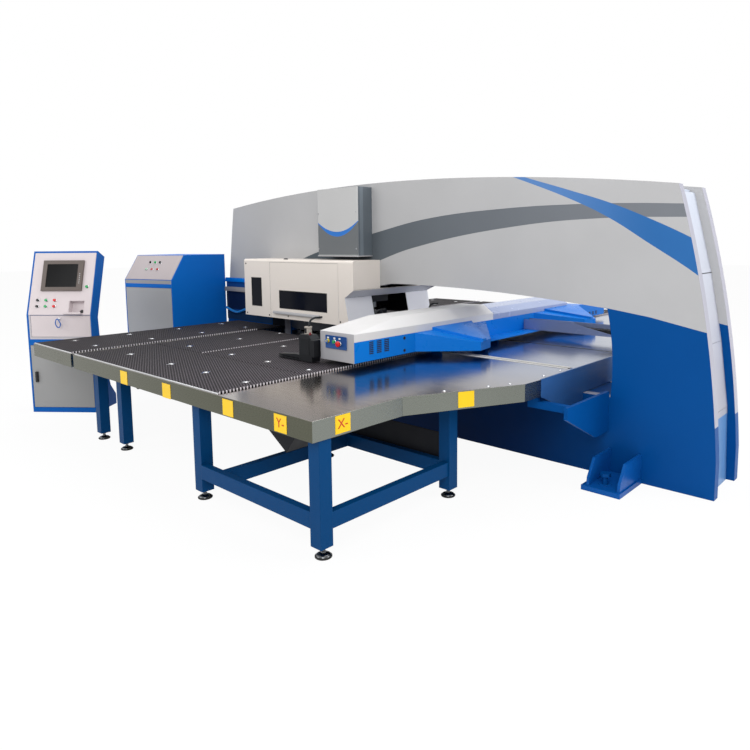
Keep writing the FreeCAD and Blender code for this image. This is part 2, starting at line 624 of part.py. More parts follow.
# ---------------------------------------------------------------- table supports
plate_under = c("table_top") - c("top_sheet")
front_half = c("leg_front") * 0.5
rear_half = c("leg_side") * 0.5
legs = [
    ("d", -2525, -2076, plate_under, front_half), ("c", -2514, -830, plate_under, front_half),
    ("e", -1380, -2085, plate_under, front_half), ("f", -1380, -830, plate_under, front_half),
    ("b", -2395, 630, plate_under, rear_half), ("a", -2392, 1092, c("skirt_low"), rear_half),
    ("h", -1385, 1092, c("skirt_low"), rear_half), ("i", -900, 1960, plate_under, rear_half),
]
stands = []
for side, label in ((-1, "underframe_left"), (1, "underframe_right")):
    tubes = []
    end = label[-4:]

    def tube(name, x0, x1, y0, y1, z0, z1):
        lo, hi = (side_x(x0, side), side_x(x1, side)) if side < 0 else (side_x(x1, side), side_x(x0, side))
        tubes.append(box(name + "_" + end, lo, hi, y0, y1, z0, z1))

    for tag, x, y, high, reach in legs:
        cx = side_x(x, side)
        tubes.append(box("leg_%s_%s" % (tag, end), cx - reach, cx + reach, y - reach, y + reach,
                         c("leg_low"), high))
        stands.append(rod("pad_%s_%s" % (tag, end), "z", cx, y, 0, c("foot_radius"), c("foot_disc"), sides=12))
        stands.append(rod("neck_%s_%s" % (tag, end), "z", cx, y, c("foot_disc"), c("foot_cone") * 0.5,
                          c("leg_low") - c("foot_disc"), sides=6))
    thick = c("bar_thick")
    for level, low, high in (("low", c("bar_low"), c("bar_high")), ("top", c("ring_low"), plate_under)):
        tube("bar_dc_" + level, -2565, thick - 2565, -2031, -875, low, high)
        tube("bar_ef_" + level, -1425, thick - 1425, -2040, -875, low, high)
        tube("bar_de_" + level, -2480, -1425, -2120, thick - 2120, low, high)
        if level == "low":
            tube("bar_across_low", thick - 2565, -1425, -1120, thick - 1120, low, high)
        else:
            tube("bar_cf_top", -2469, -1425, -870, thick - 870, low, high)
    # cross rail under the gap between the near and the rear table
    tube("bar_split", -2600, -1345, c("split_near") + 6, c("split_far") - 6, c("skirt_low"), 788)
    node(group(label, tubes), label)
node(group("table_feet", stands), "table_feet")

# folded sheets under the tables: a slug chute hung between the top rails, and a closing sheet
chute_left = [(-1756, 528), (-1335, plate_under), (-1344, plate_under), (-1756, 534)]
chute_right = [(-1756, 528), (-1756, 534), (-1965, plate_under), (-1970, plate_under)]
chute_end = [(-1756, 534), (-1344, plate_under), (-1965, plate_under)]
sheets = []
for side, tag in ((-1, "left"), (1, "right")):
    spans = [("wall_a", chute_left, -2511, -1429), ("wall_b", chute_right, -2511, -1429),
             ("end_a", chute_end, -2511, -2507), ("end_b", chute_end, -1433, -1429)]
    for name, loop, x0, x1 in spans:
        lo, hi = (side_x(x0, side), side_x(x1, side)) if side < 0 else (side_x(x1, side), side_x(x0, side))
        sheets.append(profile("chute_%s_%s" % (name, tag), "YZ", lo, hi, [loop]))
    lo, hi = (side_x(-1375, side), side_x(-1369, side))
    if side > 0:
        lo, hi = hi, lo
    sheets.append(box("closing_sheet_" + tag, lo, hi, -2040, -875, 200, 438))
node(group("under_table_sheets", sheets), "under_table_sheets")

brackets = []
rails = []
for side, tag in ((-1, "left"), (1, "right")):
    edge = [(half * side, 340), (495 * side, 340), (943 * side, 563), (940 * side, 645),
            (half * side, 645)]
    brackets.append(profile("bracket_plate_" + tag, "XZ", -2748, -2722, [edge]))
    lo, hi = (-900, -850) if side < 0 else (850, 900)
    brackets.append(box("bracket_tube_" + tag, lo, hi, -2722, -2420, 595, 645))
    brackets.append(box("bracket_post_" + tag, lo, hi, -2500, -2420, 645, plate_under))
    lo, hi = (-c("rail_out"), -half) if side < 0 else (half, c("rail_out"))
    rails.append(box("y_rail_" + tag, lo, hi, -2480, -200, c("rail_low"), c("rail_high")))
node(group("table_brackets", brackets), "table_brackets")
node(group("y_rails", rails), "y_rails")

# ---------------------------------------------------------------- beam
b_low = c("beam_low")
b_top = c("beam_top")
near = c("beam_near")
back = c("beam_back")
girder = [(c("beam_left"), b_low), (c("beam_right"), b_low), (c("beam_right"), c("beam_drop_z")),
          (c("beam_drop_x"), b_top), (c("beam_left"), b_top)]
beam = [profile("girder", "XZ", near, back, [girder])]
# lower flange of the girder, between the two arms
flange = [(164, near), (-51, -1505), (1251, -1505), (1036, near)]
beam.append(profile("girder_flange", "XY", b_low, b_low + 8, [flange]))


def arm_x(value, side):
    value = as_size(value)
    if side < 0:
        return value
    return c("arm_mirror") - value


slope = [(near, b_low), (near, b_top), (c("arm_tip_a"), c("arm_tip_z")), (c("arm_tip_a"), b_low)]
pad_slope = [(near, b_top), (near, b_top + c("pad_thick")), (c("arm_tip_a"), c("arm_tip_z") + c("pad_thick")),
             (c("arm_tip_a"), c("arm_tip_z"))]
for side, tag in ((-1, "near"), (1, "far")):
    plan = [(arm_x(c("arm_left"), side), near), (arm_x(c("arm_right"), side), near),
            (arm_x(c("arm_tip_right"), side), c("arm_tip_b")), (arm_x(c("arm_tip_left"), side), c("arm_tip_a"))]
    pad_plan = [(arm_x(c("pad_left"), side), near), (arm_x(c("pad_right"), side), near),
                (arm_x(-375, side), -1712), (arm_x(-425, side), -1712)]
    lo, hi = (-900, 300) if side < 0 else (900, 2100)
    beam.append(common("arm_" + tag, profile("arm_plan_" + tag, "XY", b_low, b_top, [plan]),
                       profile("arm_side_" + tag, "YZ", lo, hi, [slope])))
    beam.append(common("arm_pad_" + tag,
                       profile("pad_plan_" + tag, "XY", c("arm_tip_z") - 5, b_top + c("pad_thick"), [pad_plan]),
                       profile("pad_side_" + tag, "YZ", lo, hi, [pad_slope])))
    lo, hi = (-c("strut_out"), -c("strut_in")) if side < 0 else (c("strut_in"), c("strut_out"))
    beam.append(box("strut_" + tag, lo, hi, c("strut_near"), c("strut_far"), 640, b_low))
    lo, hi = (-c("strut_out"), -290) if side < 0 else (290, c("strut_out"))
    beam.append(box("carriage_block_" + tag, lo, hi, c("strut_near"), c("strut_far"), 600, 640))
node(group("beam_body", beam), "beam_body")

near_section = [(near, b_top), (near, c("ridge")), (c("crest_y"), c("crest")), (back, c("crest_back")),
                (back, b_top)]
near_length = [(c("beam_left"), b_top), (c("beam_left"), c("ridge") + 2), (c("hip_x"), c("crest")),
               (c("cover_split"), c("crest")), (c("cover_split"), b_top)]
node(common("beam_cover_near",
            profile("near_section", "YZ", c("beam_left"), c("cover_split"), [near_section]),
            profile("near_length", "XZ", near, back, [near_length])), "beam_cover_near")
mid_section = [(near, b_top), (near, c("mid_ridge")), (c("crest_y"), c("mid_crest")),
               (back, c("mid_crest")), (back, b_top)]
node(profile("beam_cover_mid", "YZ", c("cover_split") + 2, c("mid_end"), [mid_section]), "beam_cover_mid")

node(group("beam_button_plate", [
    box("button_plate", c("beam_left") - 12, c("beam_left"), -1256, -1034, 962, 1050),
    rod("lamp_beam", "x", c("beam_left") - 36, -1059, 1012, 14, 24, sides=12),
]), "beam_button_plate")
node(group("beam_start_button", [rod("start_cap", "x", c("beam_left") - 30, -1131, 1011, 13, 14, sides=12)]),
     "beam_start_button")
node(group("beam_stop_button", [rod("stop_stem", "x", c("beam_left") - 27, -1188, 1000, 10, 11, sides=12),
                                rod("stop_head", "x", c("beam_left") - 41, -1188, 1000, 22, 14, sides=12)]),
     "beam_stop_button")
node(group("x_rails", [
    box("x_rail_low", c("beam_left") + 10, c("beam_right") - 40, back, back + 12, 880, 900),
    box("x_rail_high", c("beam_left") + 10, c("beam_drop_x") + 500, back, back + 12, 925, 940),
]), "x_rails")

tray_a = c("tray_near_x")
tray_b = c("tray_far_x")
tray_wall = [(near, c("tray_low")), (near, 972), (-1860, c("tray_high")), (-1943, 955),
             (c("tray_end"), 885), (c("tray_end"), c("tray_low"))]
node(group("cable_tray", [
    profile("tray_near_wall", "YZ", tray_a, tray_a + 3, [tray_wall]),
    box("tray_floor", tray_a + 3, tray_b - 3, c("tray_end"), near, c("tray_low"), c("tray_low") + 3),
    box("tray_far_wall", tray_b - 3, tray_b, c("tray_end"), near, c("tray_low"), 972),
]), "cable_tray")
links = []
for index in range(18):
    low_y = -2290 + index * 50
    links.append(box("chain_link_%02d" % index, tray_a + 12, tray_b - 12, low_y, low_y + 44,
                     c("tray_low") + 4, 930))
node(group("cable_chain", links), "cable_chain")

# ---------------------------------------------------------------- clamps
node(group("clamp_carriage", [
    box("carriage_bar", c("carriage_left"), c("carriage_right"), c("carriage_near"), c("carriage_far"),
        872, 1005),
]), "clamp_carriage")
clamp_items = []
clamp_side = [(c("carriage_far"), c("jaw_low")), (c("carriage_far"), 1005), (c("carriage_far") + 30, 1040),
              (c("clamp_face") - 13, 1040), (c("clamp_face"), 1020), (c("clamp_face"), c("jaw_low"))]
for index in range(3):
    cx = c("clamp_first") + c("clamp_pitch") * index
    tag = "_%d" % (index + 1)
    clamp_items.append(profile("clamp_block" + tag, "YZ", cx - c("clamp_half"), cx + c("clamp_half"),
                               [clamp_side]))
    clamp_items.append(box("clamp_lower" + tag, cx - 38, cx + 38, c("clamp_face"), c("jaw_tip"),
                           c("jaw_low"), c("jaw_mid")))
    clamp_items.append(rod("clamp_cap" + tag, "z", cx, -800, 1040, 18, 46, sides=12))
    jaw_side = [(c("clamp_face") + 5, c("jaw_open")), (c("jaw_tip"), c("jaw_open")),
                (c("jaw_tip"), c("jaw_open") + 10), (c("clamp_face") + 60, c("jaw_high")),
                (c("clamp_face") + 5, c("jaw_high"))]
    node(profile("clamp_jaw" + tag, "YZ", cx - 34, cx + 34, [jaw_side]), "clamp_jaw" + tag)
node(group("clamp_bodies", clamp_items), "clamp_bodies")


# ---------------------------------------------------------------- console and cabinet
def stand(item, name, lift=0, lean=0):
    # places an item built in the unit's own frame: x along its front, y into it, z up
    turn = FreeCAD.Rotation(FreeCAD.Vector(0, 0, 1), c(name + "_turn").number)
    place = FreeCAD.Placement(FreeCAD.Vector(c(name + "_x").number, c(name + "_y").number, 0), turn)
    tilt = FreeCAD.Placement(FreeCAD.Vector(0, 0, lift), FreeCAD.Rotation(FreeCAD.Vector(1, 0, 0), -lean))
    item.Placement = place.multiply(tilt)
    return item


wide = c("console_wide")
lip = c("console_lip")
lean = math.degrees(math.atan2(c("console_run").number, c("console_rise").number))
console_side = [(0, 0), (400, 0), (400, 110), (300, 230), (140, 760), (125, 1000),
                (c("console_run") + 125, lip + c("console_rise") - 64), (c("console_run"), lip + c("console_rise")),
                (0, lip)]
tilted = doc.addObject("Part::Compound", "console_pocket_tilted")
tilted.Links = [box("console_pocket_box", 452, 618, -5, 60, 14, 150)]
tilted.Placement = FreeCAD.Placement(FreeCAD.Vector(0, 0, lip.number),
                                     FreeCAD.Rotation(FreeCAD.Vector(1, 0, 0), -lean))
console = cut("console_case_cut", profile("console_shell", "YZ", 0, wide, [console_side]), [
    box("console_door_recess", 18, wide - 18, -1, 14, 52, 718),
    box("console_inside", 40, wide - 40, 13, 118, 80, 690),
    box("console_flap_recess", 41, wide - 11, -1, 14, 803, 1032),
    box("console_flap_inside", 66, wide - 50, 13, 95, 830, 1005),
    tilted,
])
node(stand(group("console_case", [console]), "console"), "console_body")

panel_top = math.hypot(c("console_run").number, c("console_rise").number) - 22
panel = profile("console_sheet", "XZ", -6, 0, [
    [(22, 0), (wide - 10, 0), (wide - 10, panel_top), (22, panel_top)],
    [(452, 14), (618, 14), (618, 150), (452, 150)]])
shelf = box("console_shelf", 422, 616, -58, -6, 0, 8)
node(stand(group("console_panel", [panel, shelf]), "console", lip.number, lean), "console_panel")
bezel = cut("monitor_shell", box("monitor_block", 137, 575, -26, -6, 253, 581),
            [box("monitor_screen", 182, 519, -27, -18, 293, 541)])
node(stand(group("console_monitor", [bezel]), "console", lip.number, lean), "console_monitor")

names = [("console_button_1", 111, 155), ("console_button_2", 202, 155), ("console_button_3", 294, 155),
         ("console_button_4", 111, 89), ("console_button_5", 202, 89), ("console_button_6", 294, 89),
         ("console_power_button", 627, 299)]
for name, x, z in names:
    cap = rod(name + "_cap", "y", x, -24, z, 14, 14, sides=12)
    node(stand(group(name, [cap]), "console", lip.number, lean), name)

node(stand(group("console_door", [
    box("console_door_sheet", 21, wide - 21, 0, 12, 55, 715),
    box("console_latch", 62, 84, -16, 0, 330, 432),
]), "console"), "console_door")
node(stand(group("console_flap", [
    box("console_flap_sheet", 44, wide - 14, 0, 12, 806, 1029),
    rod("console_lock", "y", 358, -8, 996, 12, 8, sides=12),
]), "console"), "console_flap")

wide = c("cabinet_wide")
low = c("cabinet_low")
brk = c("cabinet_break")
lean = math.degrees(math.atan2(c("cabinet_run").number, c("cabinet_rise").number))
cabinet_side = [(0, low), (c("cabinet_deep"), low), (c("cabinet_deep"), brk + c("cabinet_rise")),
                (c("cabinet_run"), brk + c("cabinet_rise")), (0, brk)]
cabinet = cut("cabinet_case_cut", profile("cabinet_shell", "YZ", 0, wide, [cabinet_side]), [
    box("cabinet_door_recess", 12, wide - 12, -1, 14, low + 12, 1258),
    box("cabinet_inside", 40, wide - 40, 13, 780, low + 40, 1230),
])
node(stand(group("cabinet_case", [cabinet]), "cabinet"), "cabinet_body")
slope_long = math.hypot(c("cabinet_run").number, c("cabinet_rise").number)
node(stand(group("cabinet_panel", [
    box("cabinet_sheet", 10, wide - 10, -4, 0, 6, slope_long - 8),
    rod("cabinet_lamp_1", "y", 284, -16, 143, 13, 12, sides=12),
    rod("cabinet_lamp_2", "y", 375, -16, 143, 13, 12, sides=12),
    rod("cabinet_lamp_3", "y", 466, -16, 143, 13, 12, sides=12),
]), "cabinet", brk.number, lean), "cabinet_panel")
node(stand(group("cabinet_start_button", [rod("cabinet_start_cap", "y", 378, -22, 239, 13, 14, sides=12)]),
           "cabinet", brk.number, lean), "cabinet_start_button")
for index, x in enumerate((297, 458)):
    tag = "_%d" % (index + 1)
    node(stand(group("cabinet_selector" + tag, [
        rod("selector_base" + tag, "y", x, -15, 239, 14, 10, sides=12),
        box("selector_grip" + tag, x - 4, x + 4, -27, -15, 227, 251),
    ]), "cabinet", brk.number, lean), "cabinet_selector" + tag)
node(stand(group("cabinet_door", [
    box("cabinet_door_sheet", 15, wide - 15, 0, 12, low + 15, 1255),
    box("cabinet_latch", wide - 62, wide - 38, -18, 0, 640, 760),
]), "cabinet"), "cabinet_door")
pads = []
for index, (x, y) in enumerate(((55, 60), (wide - 55, 60), (wide - 55, 790), (55, 790))):
    pads.append(rod("cabinet_pad_%d" % index, "z", x, y, 0, 38, 22, sides=12))
    pads.append(rod("cabinet_neck_%d" % index, "z", x, y, 22, 26, 78, sides=8))
node(stand(group("cabinet_feet", pads), "cabinet"), "cabinet_feet")

# ---------------------------------------------------------------- checks and export
doc.recompute()
broken = [item.Name for item in doc.Objects if "Invalid" in item.State or "Error" in item.State]
if broken:
    print("failed objects:", broken)
    sys.exit(1)
os.makedirs("parts", exist_ok=True)
total = 0
for item in nodes:
    shape = item.Shape
    if shape.isNull() or not shape.isValid():
        print("bad shape:", item.Label)
        sys.exit(1)
    shape.exportStep(os.path.join("parts", item.Label + ".step"))
    facets = len(shape.tessellate(0.5)[1])
    total += facets
    size = shape.BoundBox
    print("%-22s solids %3d facets %5d  x %7.0f %7.0f  y %7.0f %7.0f  z %6.0f %6.0f" % (
        item.Label, len(shape.Solids), facets, size.XMin, size.XMax, size.YMin, size.YMax,
        size.ZMin, size.ZMax))
print("nodes", len(nodes), "facets", total)
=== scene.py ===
import bpy
import bmesh
import json
import math
from mathutils import Matrix, Vector


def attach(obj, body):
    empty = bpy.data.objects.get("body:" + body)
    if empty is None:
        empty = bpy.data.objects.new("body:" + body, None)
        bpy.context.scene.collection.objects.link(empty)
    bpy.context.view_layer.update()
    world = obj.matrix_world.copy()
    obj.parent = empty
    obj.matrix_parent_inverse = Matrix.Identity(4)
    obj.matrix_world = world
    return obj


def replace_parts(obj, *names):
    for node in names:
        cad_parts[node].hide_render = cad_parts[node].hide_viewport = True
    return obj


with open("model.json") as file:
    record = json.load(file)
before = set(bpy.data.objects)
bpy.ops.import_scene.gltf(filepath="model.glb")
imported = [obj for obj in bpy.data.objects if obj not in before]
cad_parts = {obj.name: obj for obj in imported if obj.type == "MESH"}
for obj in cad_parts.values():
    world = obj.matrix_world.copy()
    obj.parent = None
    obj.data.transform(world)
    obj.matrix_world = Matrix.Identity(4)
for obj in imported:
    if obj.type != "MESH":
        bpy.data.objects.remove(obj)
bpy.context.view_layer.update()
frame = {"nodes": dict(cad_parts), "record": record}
nodes = frame["nodes"]
print("frame loaded:", len(nodes), "nodes")


def paint(code):  # sRGB hex to the linear colour that a socket takes
    channels = [int(code[i:i + 2], 16) / 255 for i in (1, 3, 5)]
    return tuple(c / 12.92 if c <= 0.04045 else ((c + 0.055) / 1.055) ** 2.4 for c in channels) + (1.0,)


def addNode(tree, kind, inputs=None, **settings):  # a node with its settings, its inputs linked or set
    node = tree.nodes.new("ShaderNode" + kind)
    for key, value in settings.items():
        setattr(node, key, value)
    for key, value in (inputs or {}).items():
        if isinstance(value, bpy.types.NodeSocket):
            tree.links.new(value, node.inputs[key])
        else:
            node.inputs[key].default_value = value
    return node.outputs


def startMaterial(name, settings):  # a cleared material with its shader and the object's own coordinates
    material = bpy.data.materials.new(name)
    material.use_nodes = True
    tree = material.node_tree
    tree.nodes.clear()
    addNode(tree, "BsdfPrincipled", settings)
    surface = tree.nodes[-1]
    addNode(tree, "OutputMaterial", {"Surface": surface.outputs[0]})
    return material, tree, surface, addNode(tree, "TexCoord")["Object"]


paintFinish = {"cloud": 0.03, "rough": 0.38, "peel": 0.25, "edge": 0.004}


def finishPaint(tree, surface, place, colour, finish):
    # soft cloudiness of a sprayed coat, roughness that wanders a little, and orange peel
    cloud = addNode(tree, "TexNoise", {"Vector": place, "Scale": 1.6, "Detail": 3.0})[0]
    shade = addNode(tree, "MapRange", {0: cloud, 1: 0.3, 2: 0.7, 3: 1 - finish["cloud"],
                                       4: 1 + finish["cloud"]})[0]
    toned = addNode(tree, "HueSaturation", {"Color": colour, "Value": shade})[0]
    tree.links.new(toned, surface.inputs["Base Color"])
    smear = addNode(tree, "TexNoise", {"Vector": place, "Scale": 9.0, "Detail": 4.0})[0]
    rough = addNode(tree, "MapRange", {0: smear, 1: 0.3, 2: 0.7, 3: finish["rough"] - 0.05,
                                       4: finish["rough"] + 0.07})[0]
    tree.links.new(rough, surface.inputs["Roughness"])
    # real orange peel is about 3 mm across, too fine to show, so it is drawn at 14 mm
    peel = addNode(tree, "TexNoise", {"Vector": place, "Scale": 1 / 0.014, "Detail": 1.0})[0]
    rounded = addNode(tree, "Bevel", {"Radius": finish["edge"]}, samples=4)[0]
    bump = addNode(tree, "Bump", {"Strength": finish["peel"], "Distance": 0.0006, "Height": peel,
                                  "Normal": rounded})[0]
    tree.links.new(bump, surface.inputs["Normal"])


def paintedSteel(name, code, rough=0.38, specular=0.3, edge=0.004):
    # sprayed two-pack enamel on sheet steel: even colour, soft gloss, faint orange peel
    material, tree, surface, place = startMaterial(name, {"Specular IOR Level": specular})
    finishPaint(tree, surface, place, paint(code), dict(paintFinish, rough=rough, edge=edge))
    return material


def brushedSteel(name, code, rough=0.3, grain=(1.0, 60.0, 60.0), metal=1.0, specular=0.5):
    # rolled or ground steel: fine lines along one direction stretch the reflections
    material, tree, surface, place = startMaterial(name, {"Metallic": metal, "Specular IOR Level": specular})
    stretched = addNode(tree, "Mapping", {"Vector": place, "Scale": grain})[0]
    lines = addNode(tree, "TexNoise", {"Vector": stretched, "Scale": 4.0, "Detail": 6.0})[0]
    clouds = addNode(tree, "TexNoise", {"Vector": place, "Scale": 1.3, "Detail": 2.0})[0]
    weak = addNode(tree, "Math", {0: clouds, 1: 0.6}, operation="MULTIPLY")[0]
    both = addNode(tree, "Math", {0: lines, 1: 0.5, 2: weak}, operation="MULTIPLY_ADD")[0]
    share = addNode(tree, "MapRange", {0: both, 1: 0.35, 2: 0.75})[0]
    light = [c * 1.25 for c in paint(code)[:3]] + [1.0]
    colour = addNode(tree, "Mix", {0: share, 6: paint(code), 7: light}, data_type="RGBA")[2]
    tree.links.new(colour, surface.inputs["Base Color"])
    spread = addNode(tree, "MapRange", {0: lines, 1: 0.3, 2: 0.7, 3: rough - 0.06, 4: rough + 0.1})[0]
    tree.links.new(spread, surface.inputs["Roughness"])
    rounded = addNode(tree, "Bevel", {"Radius": 0.002}, samples=4)[0]
    bump = addNode(tree, "Bump", {"Strength": 0.08, "Distance": 0.0004, "Height": lines,
                                  "Normal": rounded})[0]
    tree.links.new(bump, surface.inputs["Normal"])
    return material


def mouldedPlastic(name, code, rough=0.45, grit=0.003, specular=0.4):
    # injection-moulded plastic or rubber: fine spark-eroded grain, no metal in it
    material, tree, surface, place = startMaterial(
        name, {"Base Color": paint(code), "Roughness": rough, "Specular IOR Level": specular})
    grain = addNode(tree, "TexNoise", {"Vector": place, "Scale": 1 / grit, "Detail": 2.0})[0]
    bump = addNode(tree, "Bump", {"Strength": 0.2, "Distance": 0.0003, "Height": grain})[0]
    tree.links.new(bump, surface.inputs["Normal"])
    return material


def darkGlass(name, code, rough=0.06, specular=0.3):
    # tinted safety glass: black with a sharp gloss and a faint smear from cleaning
    material, tree, surface, place = startMaterial(name,
                                                   {"Base Color": paint(code),
                                                    "Specular IOR Level": specular})
    smear = addNode(tree, "TexNoise", {"Vector": place, "Scale": 7.0, "Detail": 3.0})[0]
    spread = addNode(tree, "MapRange", {0: smear, 1: 0.35, 2: 0.7, 3: rough, 4: rough + 0.10})[0]
    tree.links.new(spread, surface.inputs["Roughness"])
    return material


def dress(piece, material):
    if not piece.material_slots:
        piece.data.materials.append(material)
    for slot in piece.material_slots:
        slot.material = material


livery = {
    "near": -3.50, "far": 2.35, "tall": 2.40,
    # edge lines of the paint fields as (y, z) in metres on the frame's side
    "bandTop": [(-3.50, 1.985), (-3.23, 1.999), (-2.925, 2.017), (-2.453, 2.031), (-1.813, 2.025),
                (-1.025, 1.972),
                (-0.402, 1.865), (0.537, 1.659), (0.783, 1.588), (2.35, 1.10)],
    "bandFoot": [(-3.50, 1.903), (-3.248, 1.910), (-2.702, 1.921), (-1.971, 1.883), (-0.825, 1.706),
                 (-0.397, 1.585),
                 (0.3, 1.35), (2.35, 0.9)],
    "swooshTop": [(-3.50, 1.650), (-3.275, 1.775), (-2.971, 1.920), (-2.707, 2.030), (-2.391, 2.137),
                  (-1.992, 2.266),
                  (-1.70, 2.37), (2.35, 2.39)],
    "swooshFoot": [(-3.50, 1.390), (-3.33, 1.523), (-2.977, 1.751), (-2.711, 1.918), (-2.475, 2.037),
                   (-1.885, 2.274),
                   (-1.62, 2.37), (2.35, 2.39)],
    "blueLine": [(-3.50, 1.126), (-3.403, 1.140), (-3.024, 1.218), (-2.711, 1.262), (-2.0, 1.30),
                 (-1.0, 1.34),
                 (2.35, 1.34)],
    "grey": "#B2B2B3", "bandNear": "#4F575D", "bandFar": "#767A80",
    # the darker inside blue and the near-black colour are painted shade, under the throat and under the guard
    "swooshDeep": "#3067A4", "swooshPale": "#5880B6", "blue": "#02478A", "blueThroatShade": "#022A5C",
    "shadeUnderGuard": "#14161B", "cutEdge": "#A9A9B5",
}


def liveryPaint():
    # masked and sprayed enamel on the side plates: grey, a graphite band, a blue swoosh and a blue base
    material, tree, surface, place = startMaterial("enamelFrameScheme", {"Specular IOR Level": 0.06})
    x, y, z = addNode(tree, "SeparateXYZ", {0: place})
    near, far, tall = livery["near"], livery["far"], livery["tall"]
    along = addNode(tree, "MapRange", {0: y, 1: near, 2: far})[0]

    def below(name):  # 1 where the surface is under the named line
        height = addNode(tree, "FloatCurve", {1: along})[0]
        curve = height.node.mapping
        spots = [((py - near) / (far - near), pz / tall) for py, pz in livery[name]]
        curve.curves[0].points[0].location, curve.curves[0].points[1].location = spots[0], spots[-1]
        for spot in spots[1:-1]:
            curve.curves[0].points.new(*spot)
        for point in curve.curves[0].points:
            point.handle_type = "VECTOR" if name == "blueLine" else "AUTO"
        curve.update()
        metres = addNode(tree, "Math", {0: height, 1: tall}, operation="MULTIPLY")[0]
        return addNode(tree, "Math", {0: z, 1: metres}, operation="LESS_THAN")[0]

    band = addNode(tree, "Math", {0: below("bandTop"), 1: below("bandFoot")}, operation="SUBTRACT")[0]
    swoosh = addNode(tree, "Math", {0: below("swooshTop"), 1: below("swooshFoot")}, operation="SUBTRACT")[0]
    depth = addNode(tree, "Math", {0: x}, operation="ABSOLUTE")[0]
    proud = addNode(tree, "Math", {0: depth, 1: 0.2035}, operation="GREATER_THAN")[0]  # inner faces are plain
    turned = addNode(tree, "SeparateXYZ", {0: addNode(tree, "NewGeometry")["Normal"]})[0]
    sideways = addNode(tree, "Math", {0: turned}, operation="ABSOLUTE")[0]
    flatSide = addNode(tree, "Math", {0: sideways, 1: 0.5},
                       operation="GREATER_THAN")[0]  # so are the cut edges
    outside = addNode(tree, "Math", {0: proud, 1: flatSide}, operation="MULTIPLY")[0]
    # painted shade: inside the turret guard the plates are drawn near black
    shaded = outside
    for value, limit, operation in ((y, -0.395, "GREATER_THAN"), (y, 1.365, "LESS_THAN"),
                                    (z, 0.60, "GREATER_THAN"),
                                    (z, 1.59, "LESS_THAN")):
        test = addNode(tree, "Math", {0: value, 1: limit}, operation=operation)[0]
        shaded = addNode(tree, "Math", {0: shaded, 1: test}, operation="MULTIPLY")[0]
    bandShare = addNode(tree, "MapRange", {0: y, 1: 0.5, 2: -3.0})[0]
    bandColour = addNode(tree, "Mix", {0: bandShare, 6: paint(livery["bandNear"]),
                                       7: paint(livery["bandFar"])},
                         data_type="RGBA")[2]
    swooshShare = addNode(tree, "MapRange", {0: y, 1: -3.1, 2: -2.1}, interpolation_type="SMOOTHSTEP")[0]
    swooshColour = addNode(tree, "Mix", {0: swooshShare, 6: paint(livery["swooshDeep"]),
                                         7: paint(livery["swooshPale"])},
                           data_type="RGBA")[2]
    bandMask = addNode(tree, "Math", {0: band, 1: outside}, operation="MULTIPLY")[0]
    swooshMask = addNode(tree, "Math", {0: swoosh, 1: outside}, operation="MULTIPLY")[0]
    colour = addNode(tree, "Mix", {0: bandMask, 6: paint(livery["grey"]), 7: bandColour}, data_type="RGBA")[2]
    colour = addNode(tree, "Mix", {0: swooshMask, 6: colour, 7: swooshColour}, data_type="RGBA")[2]
    # painted shade: the floor beam under the throat is drawn a darker blue deeper into the throat
    deeper = addNode(tree, "MapRange", {0: y, 1: -3.0, 2: -1.9}, interpolation_type="SMOOTHSTEP")[0]
    sill = addNode(tree, "Math", {0: z, 1: 0.61}, operation="LESS_THAN")[0]
    throatShade = addNode(tree, "Math", {0: deeper, 1: sill}, operation="MULTIPLY")[0]
    base = addNode(tree, "Mix", {0: throatShade, 6: paint(livery["blue"]), 7: paint(livery["blueThroatShade"])},
                   data_type="RGBA")[2]
    colour = addNode(tree, "Mix", {0: below("blueLine"), 6: colour, 7: base}, data_type="RGBA")[2]
    colour = addNode(tree, "Mix", {0: shaded, 6: colour, 7: paint(livery["shadeUnderGuard"])}, data_type="RGBA")[2]
    low = addNode(tree, "Math", {0: z, 1: 0.50}, operation="LESS_THAN")[0]
    edge = addNode(tree, "Mix", {0: low, 6: paint(livery["cutEdge"]), 7: paint(livery["blue"])},
                   data_type="RGBA")[2]
    colour = addNode(tree, "Mix", {0: flatSide, 6: edge, 7: colour}, data_type="RGBA")[2]
    finishPaint(tree, surface, place, colour, dict(paintFinish, rough=0.36))
    return material


def webPaint():
    # welded web between the side plates: grey enamel above, satin blue below, a butt seam across it
    material, tree, surface, place = startMaterial("enamelFrameWeb", {"Specular IOR Level": 0.25})
    y, z = addNode(tree, "SeparateXYZ", {0: place})[1:3]
    low = addNode(tree, "Math", {0: z, 1: 0.50}, operation="LESS_THAN")[0]
    seam = addNode(tree, "Math", {0: z, 1: 1.52, 2: 0.004}, operation="COMPARE")[0]
    # painted highlight: the grey turns paler and bluer towards the top
    topHighlight = addNode(tree, "MapRange", {0: z, 1: 0.7, 2: 2.2})[0]
    upper = addNode(tree, "Mix", {0: topHighlight, 6: paint("#A9A9B2"), 7: paint("#C9D0DE")}, data_type="RGBA")[2]
    upper = addNode(tree, "Mix", {0: seam, 6: upper, 7: paint("#80838C")}, data_type="RGBA")[2]
    inside = addNode(tree, "Math", {0: y, 1: -2.9}, operation="GREATER_THAN")[0]
    under = addNode(tree, "Math", {0: z, 1: 1.2}, operation="LESS_THAN")[0]
    throat = addNode(tree, "Math", {0: inside, 1: under}, operation="MULTIPLY")[0]
    foot = addNode(tree, "Mix", {0: inside, 6: paint("#5983B4"), 7: paint("#02478A")}, data_type="RGBA")[2]
    share = addNode(tree, "Math", {0: low, 1: throat}, operation="MAXIMUM")[0]
    colour = addNode(tree, "Mix", {0: share, 6: upper, 7: foot}, data_type="RGBA")[2]
    finishPaint(tree, surface, place, colour, dict(paintFinish, rough=0.34, peel=0.05, cloud=0.015))
    return material


